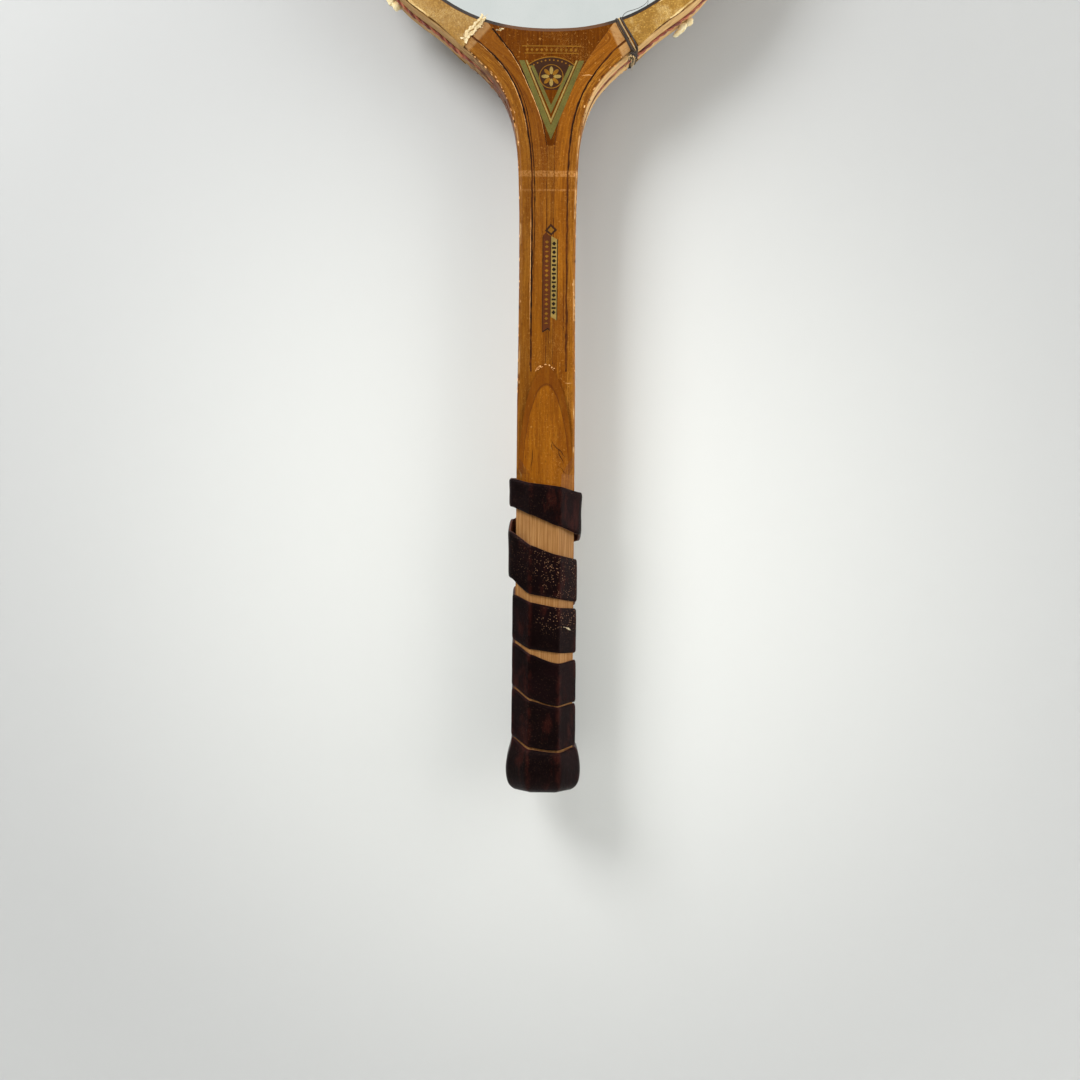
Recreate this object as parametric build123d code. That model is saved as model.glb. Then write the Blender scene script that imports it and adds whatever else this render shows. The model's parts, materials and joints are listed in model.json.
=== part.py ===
from build123d import *
import os
import math

# ---------------------------------------------------------------- driving dimensions (mm)
# Working axes: x across the racket, z up the long axis from the butt end, front face towards -y.
TOTAL_LENGTH = 686.5        # butt to head tip, the usual 27 inches
FRAME_DEPTH = 18.6          # thickness of the bent frame, front to back
HALF_DEPTH = FRAME_DEPTH / 2
OPEN_HALF_W = 103.0         # half width of the head opening
OPEN_HALF_H = 141.0         # half height of the head opening
HEAD_CENTRE_Z = 532.0
OPEN_POWER_LOW = 2.3        # superellipse power below and above the head centre
OPEN_POWER_HIGH = 2.12
LINER_T = 1.5               # dark ply that lines the opening
INNER_PLY_T = 5.5
OUTER_PLY_T = 6.5
MEMBER_W = LINER_T + INNER_PLY_T + OUTER_PLY_T
SHAFT_LINE_LEFT = -8.1      # ply joints as they show on the front of the shaft
SHAFT_LINE_RIGHT = 10.0
STRIP_X0, STRIP_X1 = -0.5, 3.1   # centre strip of the shaft
WEDGE_TIP_Z = 331.0
GROOVE_W, GROOVE_DEPTH = 3.4, 1.2
STRING_W, STRING_PROUD = 2.6, 0.8

HANDLE_HX, HANDLE_HY = 15.0, 13.6        # octagonal handle, half sizes
HANDLE_FX, HANDLE_FY = 7.2, 6.7          # half widths of its front and side flats
HANDLE_BOTTOM = 1.6
CHAMFER_END_Z, CHAMFER_RUNOUT_Z = 162.5, 190.0
PALLET_APEX_Z = 219.0
LEATHER_T = 1.4

GLASS_T, GLASS_FRONT_Y = 3.0, -2.4
GLASS_GAP = 1.7             # bead of dark sealant between the glass and the liner ply
BOARD_T = 3.0
VELLUM_T = 0.5
DECAL_T = 0.15
HANGER_T = 1.2
HANGER_HOLE_R = 3.5
HANGER_HOLE_Z = 664.0
# The row frame's origin is the middle of the hanger's hole.
ORIGIN_Y = HALF_DEPTH + VELLUM_T + HANGER_T / 2
ORIGIN_Z = HANGER_HOLE_Z

parts = {}


# ---------------------------------------------------------------- helpers
def opening_point(t, off=0.0):
    """Point of the head opening's outline at angle t (radians, 0 is +x, -pi/2 the bottom), moved out by off."""
    def raw(u):
        c, s = math.cos(u), math.sin(u)
        n = OPEN_POWER_LOW if s < 0 else OPEN_POWER_HIGH
        return (OPEN_HALF_W * math.copysign(abs(c) ** (2 / n), c), HEAD_CENTRE_Z + OPEN_HALF_H * math.copysign(abs(s) ** (2 / n), s))
    x, z = raw(t)
    if off == 0.0:
        return x, z
    # outward normal from the implicit form of the curve
    n = OPEN_POWER_LOW if z < HEAD_CENTRE_Z else OPEN_POWER_HIGH
    dx, dz = x / OPEN_HALF_W, (z - HEAD_CENTRE_Z) / OPEN_HALF_H
    gx = math.copysign(abs(dx) ** (n - 1), dx) / OPEN_HALF_W
    gz = math.copysign(abs(dz) ** (n - 1), dz) / OPEN_HALF_H
    k = math.hypot(gx, gz)
    return x + off * gx / k, z + off * gz / k


def closed_outline(off, count=44):
    """Closed spline face boundary at the given offset from the opening."""
    pts = []
    for i in range(count):
        t = -math.pi / 2 + 2 * math.pi * (i + 0.5) / count
        x, z = opening_point(t, off)
        pts.append(Vector(x, 0, z))
    return Wire([Edge.make_spline(pts, periodic=True)])


def head_points(off, x_from, count=17):
    """Points up the right side of the head from where the opening's own outline passes x_from to the tip, left out."""
    t0 = None
    for i in range(2000):
        t = -math.pi / 2 + i * 0.0005 * math.pi
        if opening_point(t)[0] >= x_from:
            t0 = t
            break
    out = []
    for i in range(count):
        t = t0 + (math.pi / 2 - t0) * i / count
        out.append(opening_point(t, off))
    return out


def prism(wire, y0, y1):
    return extrude(Face(wire), amount=y1 - y0, dir=(0, 1, 0)).moved(Location((0, y0, 0)))


def u_wire(left, right, tip, bottom_z):
    """Closed wire of a U-shaped outline: right leg up, over the tip and down the left leg, closed at the bottom. left and right are lists of (x, z) from bottom to top."""
    pts = [Vector(x, 0, z) for x, z in right] + [Vector(0, 0, tip)] + [Vector(x, 0, z) for x, z in reversed(left)]
    spline = Edge.make_spline(pts, tangents=[Vector(0, 0, 1), Vector(0, 0, -1)])
    r0, l0 = pts[0], pts[-1]
    rb, lb = Vector(r0.X, 0, bottom_z), Vector(l0.X, 0, bottom_z)
    return Wire([spline, Edge.make_line(l0, lb), Edge.make_line(lb, rb), Edge.make_line(rb, r0)])


def poly_solid(points, faces):
    """Closed solid from points and faces given as index tuples."""
    made = [Face(Wire.make_polygon([Vector(*points[i]) for i in f], close=True)) for f in faces]
    s = Solid(Shell(made))
    return s


def box(x0, x1, y0, y1, z0, z1):
    return Location(((x0 + x1) / 2, (y0 + y1) / 2, (z0 + z1) / 2)) * Box(x1 - x0, y1 - y0, z1 - z0)


def cyl_y(x, z, r, y0, y1):
    c = Cylinder(r, y1 - y0, rotation=(90, 0, 0))
    return Location((x, (y0 + y1) / 2, z)) * c


# ---------------------------------------------------------------- outlines
outer_side = [(14.9, 200.0), (14.5, 240.0), (14.5, 280.0), (14.9, 308.0), (15.5, 322.0), (16.3, 333.0), (17.8, 342.5), (20.3, 351.5), (24.8, 361.0), (31.0, 368.8), (38.0, 375.6), (45.8, 382.2)]
A_right = outer_side + head_points(MEMBER_W, 50.0)
A_left = [(-x, z) for x, z in A_right]
B_right = [(SHAFT_LINE_RIGHT, 200.0), (SHAFT_LINE_RIGHT, 250.0), (SHAFT_LINE_RIGHT, 295.0), (10.4, 322.0), (12.4, 342.0), (17.2, 357.6), (24.7, 370.0), (35.4, 382.2)] + head_points(LINER_T + INNER_PLY_T, 46.0)
B_left = [(SHAFT_LINE_LEFT, 200.0), (SHAFT_LINE_LEFT, 250.0), (SHAFT_LINE_LEFT, 300.0), (-9.2, 330.0), (-14.3, 354.5), (-22.6, 370.6), (-34.4, 382.6)] + [(-x, z) for x, z in head_points(LINER_T + INNER_PLY_T, 46.0)]
G_right = [(17.2, 346.0), (22.6, 359.6), (29.6, 369.8), (37.2, 377.0), (45.0, 383.6)] + head_points(MEMBER_W - GROOVE_DEPTH, 50.0)
S_right = [(18.2, 340.0), (20.0, 348.0), (25.6, 360.4), (31.6, 368.2), (38.6, 375.0), (46.3, 381.6)] + head_points(MEMBER_W + STRING_PROUD, 50.0)

PA = prism(u_wire(A_left, A_right, TOTAL_LENGTH, HANDLE_BOTTOM), -HALF_DEPTH, HALF_DEPTH)
tip_B = HEAD_CENTRE_Z + OPEN_HALF_H + LINER_T + INNER_PLY_T
PB = prism(u_wire(B_left, B_right, tip_B, HANDLE_BOTTOM - 5), -HALF_DEPTH - 5, HALF_DEPTH + 5)
PL = prism(closed_outline(LINER_T), -HALF_DEPTH - 5, HALF_DEPTH + 5)
PD = prism(closed_outline(0.0), -HALF_DEPTH - 8, HALF_DEPTH + 8)

# wedge between the two legs of the bent plies
wl = Edge.make_spline([Vector(x, 0, z) for x, z in [(-0.8, WEDGE_TIP_Z), (-3.5, 344.6), (-10.0, 361.0), (-17.5, 375.8), (-29.9, 391.7), (-37.0, 400.0)]])
wr = Edge.make_spline([Vector(x, 0, z) for x, z in [(3.1, WEDGE_TIP_Z), (5.6, 345.0), (12.0, 361.8), (19.9, 375.8), (30.6, 391.0), (38.0, 400.0)]])
wedge_wire = Wire([wl, Edge.make_line(wl @ 1, wr @ 1), wr, Edge.make_line(wr @ 0, wl @ 0)])
PW = prism(wedge_wire, -HALF_DEPTH - 5, HALF_DEPTH + 5)
PS = box(STRIP_X0, STRIP_X1, -HALF_DEPTH - 5, HALF_DEPTH + 5, HANDLE_BOTTOM, WEDGE_TIP_Z)
# the strip's top and the wedge's foot differ by a hair on the left, and the inner ply fills it
slab = box(-150, 150, -HALF_DEPTH, HALF_DEPTH, HANDLE_BOTTOM, 700)


# ---------------------------------------------------------------- corner cutters of the octagonal handle
def corner_cutter(sx, sy):
    """Removes one corner of the handle, and runs out where the shaft is rectangular."""
    fx, hx, fy, hy = HANDLE_FX, HANDLE_HX, HANDLE_FY, HANDLE_HY
    # the flat's plane, carried past the solid on both sides
    ux, uy = hx - fx, hy - fy
    e = 0.6
    p1 = (fx - e * ux, hy + e * uy)
    p2 = (hx + e * ux, fy - e * uy)
    p3 = (hx + e * ux, hy + e * uy)
    s = 6.9
    q1, q2, q3 = (p1[0] + s, p1[1] + s), (p2[0] + s, p2[1] + s), (p3[0] + s, p3[1] + s)
    levels = [(-6.0, (p1, p2, p3)), (CHAMFER_END_Z, (p1, p2, p3)), (CHAMFER_RUNOUT_Z, (q1, q2, q3))]
    pts = [(sx * x, sy * y, z) for z, tri in levels for x, y in tri]
    faces = [(0, 1, 2), (6, 7, 8)]
    for a in (0, 3):
        for i in range(3):
            j = (i + 1) % 3
            faces.append((a + i, a + j, a + 3 + j, a + 3 + i))
    return poly_solid(pts, faces)


cutters = [corner_cutter(sx, sy) for sx in (1, -1) for sy in (1, -1)]


def octagonal(shape):
    for c in cutters:
        shape = shape - c
    return shape


# ---------------------------------------------------------------- bent plies, liner, wedge and centre strip
outer_ply = PA - PB
groove = prism(u_wire([(-x, z) for x, z in G_right], G_right, HEAD_CENTRE_Z + OPEN_HALF_H + MEMBER_W - GROOVE_DEPTH, 320.0), -GROOVE_W / 2, GROOVE_W / 2)
groove_ring = box(-150, 150, -GROOVE_W / 2, GROOVE_W / 2, 346.5, 720) - groove
outer_ply = outer_ply - groove_ring


def long_edges(solid, y):
    """The long outer edges of the ply at this face."""
    found = [e for e in solid.edges() if abs(e.center().Y - y) < 0.05 and e.length > 500 and e.bounding_box().size.X > 225]
    found.sort(key=lambda e: -e.length)
    return found[:1]


for side in (-1, 1):
    try:
        rounded = fillet(long_edges(outer_ply, side * HALF_DEPTH), 1.7)
        if rounded.is_valid:
            outer_ply = rounded
    except Exception as fault:
        print("outer edge left square", side, fault)
outer_ply = octagonal(outer_ply)
parts["outer_ply"] = outer_ply

inner_ply = octagonal((PB & slab) - PW - PS - PL)
parts["inner_ply"] = inner_ply
parts["throat_wedge"] = (PW & slab) - PL
parts["centre_strip"] = PS & slab
liner = (PL & slab) - PD
parts["liner_ply"] = liner

# ---------------------------------------------------------------- handle pallets, glued on the front and back of the shaft, with pointed upper ends
half_arch = [(14.9, 150.0), (14.3, 160.0), (13.5, 172.0), (12.3, 186.0), (10.5, 197.5), (7.6, 208.0), (4.2, 214.8), (0.9, 218.6)]
right_edge = Edge.make_spline([Vector(x, 0, z) for x, z in half_arch])
left_edge = Edge.make_spline([Vector(-x, 0, z) for x, z in reversed(half_arch)])
pw = Wire([right_edge, Edge.make_line(right_edge @ 1, left_edge @ 0), left_edge,
           Edge.make_line(left_edge @ 1, Vector(-HANDLE_HX, 0, 138)), Edge.make_line(Vector(-HANDLE_HX, 0, 138), Vector(-HANDLE_HX, 0, HANDLE_BOTTOM)),
           Edge.make_line(Vector(-HANDLE_HX, 0, HANDLE_BOTTOM), Vector(HANDLE_HX, 0, HANDLE_BOTTOM)),
           Edge.make_line(Vector(HANDLE_HX, 0, HANDLE_BOTTOM), Vector(HANDLE_HX, 0, 138)), Edge.make_line(Vector(HANDLE_HX, 0, 138), right_edge @ 0)])
pallet = prism(pw, HALF_DEPTH, HANDLE_HY)
# the outside face falls away to a thin end at the arch
fall = [(HANDLE_HY, 146.0), (12.6, 165.0), (10.7, 192.0), (9.65, 222.0), (20.0, 222.0), (20.0, 146.0)]
fall_wire = Wire.make_polygon([Vector(-20, y, z) for y, z in fall], close=True)
pallet = pallet - extrude(Face(fall_wire), amount=40, dir=(1, 0, 0))
back_pallet = octagonal(pallet)
front_pallet = octagonal(mirror(pallet, about=Plane.XZ))
parts["handle_pallet_front"] = front_pallet
parts["handle_pallet_back"] = back_pallet


# ---------------------------------------------------------------- butt collar, leather strip and butt end
FLARE = [(0.0, -4.0), (1.6, -2.6), (3.2, 0.4), (6.5, 1.9), (11.0, 2.3), (16.0, 2.0), (24.0, 0.0), (400.0, 0.0)]


def flare(z):
    for (z0, f0), (z1, f1) in zip(FLARE, FLARE[1:]):
        if z <= z1:
            return f0 + (f1 - f0) * (z - z0) / (z1 - z0)
    return 0.0


def corner(k, out):
    """Corner k of the handle's octagon, moved out by out. Corners run anticlockwise seen from above, from the left end of the front flat."""
    hx, hy = HANDLE_HX + out, HANDLE_HY + out
    fx, fy = HANDLE_FX + out * 0.42, HANDLE_FY + out * 0.42
    return [(-fx, -hy), (fx, -hy), (hx, -fy), (hx, fy), (fx, hy), (-fx, hy), (-hx, fy), (-hx, -fy)][k % 8]


def octagon_wire(z, out):
    return Wire.make_polygon([Vector(*corner(k, out), z) for k in range(8)], close=True)


core = loft([Face(octagon_wire(0.0, 0.0)), Face(octagon_wire(60.0, 0.0))], ruled=True)
levels = [3.2, 6.5, 11.0, 16.0, 23.6]
collar = loft([Face(octagon_wire(z, max(flare(z) - 0.7, 0.05))) for z in levels], ruled=True) - core
parts["butt_collar"] = collar

# Stations of the strip from its tapered top end down to the butt: corner, top edge, bottom edge, slack between strip and wood.
STATIONS = [
    (5, 161.0, 152.5, 1.2), (6, 161.6, 149.5, 1.7), (7, 160.5, 146.0, 2.0), (0, 158.1, 141.7, 1.0), (1, 156.0, 135.9, 0.9), (2, 153.5, 132.0, 2.2),
    (3, 151.5, 128.5, 2.2), (4, 148.0, 125.0, 1.2), (5, 144.0, 121.5, 1.0), (6, 140.0, 117.0, 1.6), (7, 133.5, 109.5, 2.2), (0, 126.5, 101.6, 0.4),
    (1, 121.4, 98.8, 0.2), (2, 119.5, 97.6, 0.25), (3, 117.5, 95.0, 0.1), (4, 113.0, 90.0, 0.0), (5, 108.5, 85.5, 0.0), (6, 104.5, 81.5, 0.0),
    (7, 101.0, 77.7, 0.0), (0, 97.5, 73.6, 0.0), (1, 94.7, 71.6, 0.0), (2, 94.0, 71.3, 0.0), (3, 92.0, 69.5, 0.0), (4, 88.0, 66.0, 0.0),
    (5, 84.0, 61.0, 0.0), (6, 79.5, 57.0, 0.0), (7, 76.4, 53.8, 0.0), (0, 71.3, 48.7, 0.0), (1, 66.5, 44.7, 0.0), (2, 67.5, 45.9, 0.0),
    (3, 66.0, 44.0, 0.0), (4, 63.0, 41.5, 0.0), (5, 59.0, 37.0, 0.0), (6, 55.5, 33.0, 0.0), (7, 52.8, 28.4, 0.0), (0, 47.7, 23.8, 0.0),
    (1, 44.2, 22.3, 0.0), (2, 45.2, 23.8, 0.0), (3, 43.0, 23.6, 0.0), (4, 40.0, 17.5, 0.0), (5, 36.0, 11.0, 0.0), (6, 32.0, 4.8, 0.0),
    (7, 27.4, 1.6, 0.0), (0, 23.1, 1.6, 0.0), (1, 21.1, 1.6, 0.0), (2, 23.1, 1.6, 0.0), (3, 23.0, 1.6, 0.0), (4, 16.9, 1.6, 0.0), (5, 10.4, 1.6, 0.0),
]
ROWS = 7


def strip_solid():
    pts, faces = [], []
    for k, top, bottom, slack in STATIONS:
        for j in range(ROWS):
            z = top + (bottom - top) * j / (ROWS - 1)
            out = slack + max(flare(z), -2.6) + 0.5 * min(1.0, max(0.0, (25.0 - z) / 4))
            xi, yi = corner(k, out)
            xo, yo = corner(k, out + LEATHER_T)
            pts += [(xi, yi, z), (xo, yo, z)]
    n = 2 * ROWS

    def inner(s, j):
        return s * n + 2 * j

    def outer(s, j):
        return s * n + 2 * j + 1

    def quad(a, b, c, d):
        faces.extend([(a, b, c), (a, c, d)])

    last = len(STATIONS) - 1
    for s in range(last):
        for j in range(ROWS - 1):
            quad(outer(s, j), outer(s, j + 1), outer(s + 1, j + 1), outer(s + 1, j))
            quad(inner(s, j), inner(s + 1, j), inner(s + 1, j + 1), inner(s, j + 1))
        quad(inner(s, 0), outer(s, 0), outer(s + 1, 0), inner(s + 1, 0))
        quad(inner(s, ROWS - 1), inner(s + 1, ROWS - 1), outer(s + 1, ROWS - 1), outer(s, ROWS - 1))
    for j in range(ROWS - 1):
        quad(inner(0, j), inner(0, j + 1), outer(0, j + 1), outer(0, j))
        quad(inner(last, j), outer(last, j), outer(last, j + 1), inner(last, j + 1))
    return poly_solid(pts, faces)


strip = strip_solid()
big_core = loft([Face(octagon_wire(HANDLE_BOTTOM, 0.0)), Face(octagon_wire(CHAMFER_END_Z, 0.0))], ruled=True)
strip = strip - big_core
parts["leather_grip"] = strip

disc = extrude(Face(octagon_wire(0.2, -2.4)), amount=HANDLE_BOTTOM - 0.2, dir=(0, 0, 1))
tacks = []
for x, y in ((-6.0, 3.5), (6.0, 3.5), (0.5, -5.5)):
    head = Location((x, y, 0.1)) * Cylinder(1.8, 0.2)
    shank = Location((x, y, 4.1)) * Cylinder(0.45, 7.8)
    tacks.append(head + shank)
for t in tacks:
    disc = disc - t
    for name in ("inner_ply", "outer_ply", "centre_strip"):
        parts[name] = parts[name] - t
parts["butt_disc"] = disc
parts["butt_tacks"] = Compound(children=tacks)

# ---------------------------------------------------------------- vellum faces of the head, from shoulder to shoulder
shoulder_cut = prism(Wire.make_polygon([Vector(x, 0, z) for x, z in ((-27.5, 405), (-49.5, 373), (-75, 335), (-75, 150), (75, 150), (75, 335), (51.5, 374), (29.5, 407))], close=True), 5, 15)
vellum = prism(u_wire([(-x, z) for x, z in outer_side] + [(-x, z) for x, z in head_points(MEMBER_W - 0.9, 50.0)], outer_side + head_points(MEMBER_W - 0.9, 50.0), TOTAL_LENGTH - 0.9, 190.0), HALF_DEPTH, HALF_DEPTH + VELLUM_T)
vellum = vellum - prism(closed_outline(LINER_T + 0.4), 5, 15) - shoulder_cut
vellum = sorted(vellum.solids(), key=lambda s: -s.volume)[0]
back_vellum = vellum
front_vellum = mirror(vellum, about=Plane.XZ)

# ---------------------------------------------------------------- mirror set in the opening
glass_outline = closed_outline(-GLASS_GAP)
glass = prism(glass_outline, GLASS_FRONT_Y, GLASS_FRONT_Y + GLASS_T)
sealant = (PD & box(-150, 150, GLASS_FRONT_Y - 0.5, GLASS_FRONT_Y + GLASS_T, 300, 700)) - prism(glass_outline, -20, 20)
board = prism(closed_outline(-0.4), GLASS_FRONT_Y + GLASS_T, GLASS_FRONT_Y + GLASS_T + BOARD_T)
points = []
y_board = GLASS_FRONT_Y + GLASS_T + BOARD_T
for deg in (-55, -20, 20, 55, 90 - 12, 90 + 12, 125, 160, 200, 235, 262, 278):
    t = math.radians(deg)
    (x0, z0), (x1, z1) = opening_point(t, 0.0), opening_point(t, -8.0)
    nx, nz = (x1 - x0) / 8, (z1 - z0) / 8
    tx, tz = -nz, nx
    tri = [(x0 + tx * 4, z0 + tz * 4), (x0 - tx * 4, z0 - tz * 4), (x1, z1)]
    points.append(prism(Wire.make_polygon([Vector(x, 0, z) for x, z in tri], close=True), y_board, y_board + 0.7) & PD)
parts["mirror_glass"] = glass
parts["backing_board"] = board
parts["glazier_points"] = Compound(children=[s for p in points for s in p.solids()])

# ---------------------------------------------------------------- hanger plate with its screws
plate_outline = [(-15, 685.0 - 2), (-15, 673.5), (-7, 657.5), (7, 657.5), (15, 673.5), (15, 685.0 - 2)]
y_plate = HALF_DEPTH + VELLUM_T
plate = prism(Wire.make_polygon([Vector(x, 0, z) for x, z in plate_outline], close=True), y_plate, y_plate + HANGER_T)
plate = fillet(plate.edges().filter_by(Axis.Y), 2.0)
plate = plate - cyl_y(0, HANGER_HOLE_Z, HANGER_HOLE_R, y_plate - 1, y_plate + 3)
screws = []
for x in (-10.0, 10.0):
    head = cyl_y(x, 678.4, 2.4, y_plate + 0.5, y_plate + HANGER_T)
    shank = cyl_y(x, 678.4, 1.2, y_plate - 7.5, y_plate + 0.5)
    screws.append(head + shank)
    plate = plate - shank - head
    back_vellum = back_vellum - shank
    parts["outer_ply"] = parts["outer_ply"] - shank
    parts["inner_ply"] = parts["inner_ply"] - shank
parts["hanger_plate"] = plate
parts["hanger_screws"] = Compound(children=screws)

# ---------------------------------------------------------------- string left in the outer groove
string_out = prism(u_wire([(-x, z) for x, z in S_right], S_right, TOTAL_LENGTH + STRING_PROUD, 330.0), -STRING_W / 2, STRING_W / 2)
string = (groove_ring & box(-150, 150, -STRING_W / 2, STRING_W / 2, 351.0, 720)) & string_out
groove_string = sorted(string.solids(), key=lambda s: -s.volume)[0]
parts["groove_string"] = groove_string


# ---------------------------------------------------------------- whipping on the right shoulder: conformal turns round the frame
def turn_at(x_in, z_in, x_out, z_out, width, thick, y_front, y_back):
    """A turn of thread round the member between an inner and an outer point of the front face."""
    dx, dz = x_out - x_in, z_out - z_in
    run = math.hypot(dx, dz)
    ux, uz = dx / run, dz / run
    px, pz = -uz, ux
    a = (x_in - ux * thick - px * width / 2, z_in - uz * thick - pz * width / 2)
    b = (x_in - ux * thick + px * width / 2, z_in - uz * thick + pz * width / 2)
    c = (x_out + ux * thick + px * width / 2, z_out + uz * thick + pz * width / 2)
    d = (x_out + ux * thick - px * width / 2, z_out + uz * thick - pz * width / 2)
    return prism(Wire.make_polygon([Vector(p[0], 0, p[1]) for p in (a, b, c, d)], close=True), y_front, y_back)


THREAD = 0.8
turns = []
for x_in, z_in, x_out, z_out in ((34.4, 396.0, 43.0, 379.8), (36.6, 396.6, 45.0, 381.6)):
    blank = turn_at(x_in, z_in, x_out, z_out, THREAD, THREAD, -HALF_DEPTH - THREAD - 0.1, HALF_DEPTH + THREAD + 0.1)
    turns.append(blank)
whipping = []
for blank in turns:
    ring = blank - (PA - PD)
    whipping += [s for s in ring.solids() if s.volume > 0.4]
parts["shoulder_whipping"] = Compound(children=whipping)
for w in whipping:
    sealant = sealant - w
    front_vellum = front_vellum - w
    back_vellum = back_vellum - w
    parts["backing_board"] = parts["backing_board"] - w
    parts["groove_string"] = parts["groove_string"] - w
    parts["mirror_glass"] = parts["mirror_glass"] - w
knot = Location((44.4, -HALF_DEPTH + 1.2, 378.6)) * Box(4.2, 3.0, 3.4, rotation=(0, 38, 0))
knot = knot - PA - whipping[0] - whipping[-1]
knot_solids = sorted(knot.solids(), key=lambda s: -s.volume)[:1]
parts["whipping_knot"] = Compound(children=knot_solids)
parts["mirror_sealant"] = sealant
parts["front_vellum"] = sorted(front_vellum.solids(), key=lambda s: -s.volume)[0]
parts["back_vellum"] = sorted(back_vellum.solids(), key=lambda s: -s.volume)[0]


# ---------------------------------------------------------------- two torn tabs of the back vellum that stand out past the edge
def tab(x, z, ang, w, h):
    s = Location((x, 5.6, z), (0, -ang, 0)) * Box(w, 3.4, h)
    return s


tabs = []
for spec in ((71.49, 398.70, 40.22, 13.0, 5.6), (-82.34, 409.45, -48.36, 9.0, 5.4)):
    made = tab(*spec)
    tabs.append(sorted(made.solids(), key=lambda s: -s.volume)[0])
parts["vellum_tabs"] = Compound(children=tabs)

# ---------------------------------------------------------------- transfers on the lacquer, generic ornament only
fan = prism(Wire.make_polygon([Vector(x, 0, z) for x, z in ((-14.2, 374.5), (-12.6, 379.0), (-6.5, 382.6), (1.4, 383.8), (9.4, 382.6), (15.4, 379.0), (17.2, 374.5), (9.5, 357.0), (1.4, 334.5), (-6.6, 357.0))], close=True), -HALF_DEPTH - DECAL_T, -HALF_DEPTH)
parts["throat_decal"] = fan & PW
parts["shaft_decal"] = box(-2.2, 5.4, -HALF_DEPTH - DECAL_T, -HALF_DEPTH, 235.5, 290.0)

# ---------------------------------------------------------------- export, moved into the row frame
os.makedirs("parts", exist_ok=True)
shift = Location((0, -ORIGIN_Y, -ORIGIN_Z))
for name, shape in parts.items():
    moved = shape.moved(shift)
    solids = moved.solids()
    out = solids[0] if len(solids) == 1 else Compound(children=list(solids))
    export_step(out, f"parts/{name}.step")
    print(name, len(solids), round(sum(s.volume for s in solids), 2), all(s.is_valid for s in solids))
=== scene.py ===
import bpy, bmesh, math, json, random
from mathutils import Vector, Matrix, noise

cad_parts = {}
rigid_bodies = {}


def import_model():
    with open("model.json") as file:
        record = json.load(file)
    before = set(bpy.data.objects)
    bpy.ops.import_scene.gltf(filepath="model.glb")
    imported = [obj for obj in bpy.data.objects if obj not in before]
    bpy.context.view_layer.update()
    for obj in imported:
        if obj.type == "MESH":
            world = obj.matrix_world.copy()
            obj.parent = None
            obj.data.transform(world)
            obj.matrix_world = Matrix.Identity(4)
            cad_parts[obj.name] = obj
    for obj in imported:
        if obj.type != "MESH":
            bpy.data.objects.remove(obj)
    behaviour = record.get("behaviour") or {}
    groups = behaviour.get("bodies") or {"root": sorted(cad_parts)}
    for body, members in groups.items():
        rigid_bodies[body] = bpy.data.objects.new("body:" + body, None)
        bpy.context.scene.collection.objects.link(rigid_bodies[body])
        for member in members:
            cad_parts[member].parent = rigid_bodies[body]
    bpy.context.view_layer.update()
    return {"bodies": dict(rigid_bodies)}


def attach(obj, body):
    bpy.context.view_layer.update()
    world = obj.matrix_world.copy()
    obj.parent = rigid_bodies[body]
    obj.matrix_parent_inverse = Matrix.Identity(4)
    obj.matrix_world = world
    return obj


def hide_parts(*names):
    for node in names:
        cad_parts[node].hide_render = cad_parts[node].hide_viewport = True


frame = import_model()
scene = bpy.context.scene
random.seed(7)

# ------------------------------------------------------------------ sizes, in the working millimetres of the CAD source: x across, z up from the butt end, front towards -y
OY, OZ = 10.4, 664.0
HD = 9.3
OPEN_A, OPEN_B, HEAD_Z = 103.0, 141.0, 532.0
LINER, INNER_T, OUTER_T = 1.5, 5.5, 6.5
MW = LINER + INNER_T + OUTER_T
HX, HY, FX, FY = 15.0, 13.6, 7.2, 6.7


def P(x, y, z):
    """A point in working millimetres as a point of the row frame in metres."""
    return Vector((x, y - OY, z - OZ)) * 0.001


def opening_point(t, off=0.0):
    c, s = math.cos(t), math.sin(t)
    n = 2.3 if s < 0 else 2.12
    x = OPEN_A * math.copysign(abs(c) ** (2 / n), c)
    z = HEAD_Z + OPEN_B * math.copysign(abs(s) ** (2 / n), s)
    dx, dz = x / OPEN_A, (z - HEAD_Z) / OPEN_B
    gx = math.copysign(abs(dx) ** (n - 1), dx) / OPEN_A
    gz = math.copysign(abs(dz) ** (n - 1), dz) / OPEN_B
    k = math.hypot(gx, gz)
    return x + off * gx / k, z + off * gz / k


def head_points(off, x_from, count=17):
    t0 = None
    for i in range(2000):
        t = -math.pi / 2 + i * 0.0005 * math.pi
        if opening_point(t)[0] >= x_from:
            t0 = t
            break
    return [opening_point(t0 + (math.pi / 2 - t0) * i / count, off) for i in range(count)]


def catmull(pts, per=12, closed=False):
    """Smooth line through points (any dimension), centripetal enough for evenly spaced ones."""
    pts = [Vector(p) for p in pts]
    n = len(pts)
    out = []
    for i in range(n if closed else n - 1):
        if closed:
            p0, p1, p2, p3 = pts[(i - 1) % n], pts[i], pts[(i + 1) % n], pts[(i + 2) % n]
        else:
            p1, p2 = pts[i], pts[i + 1]
            p0 = pts[i - 1] if i else p1 * 2 - p2
            p3 = pts[i + 2] if i + 2 < n else p2 * 2 - p1
        a = max((p1 - p0).length, 1e-9) ** 0.5
        b = max((p2 - p1).length, 1e-9) ** 0.5
        c = max((p3 - p2).length, 1e-9) ** 0.5
        m1 = ((p1 - p0) / a - (p2 - p0) / (a + b) + (p2 - p1) / b) * b
        m2 = ((p2 - p1) / b - (p3 - p1) / (b + c) + (p3 - p2) / c) * b
        for k in range(per):
            u = k / per
            u2, u3 = u * u, u * u * u
            out.append(p1 * (2 * u3 - 3 * u2 + 1) + m1 * (u3 - 2 * u2 + u) + p2 * (-2 * u3 + 3 * u2) + m2 * (u3 - u2))
    if not closed:
        out.append(pts[-1])
    return out


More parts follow.
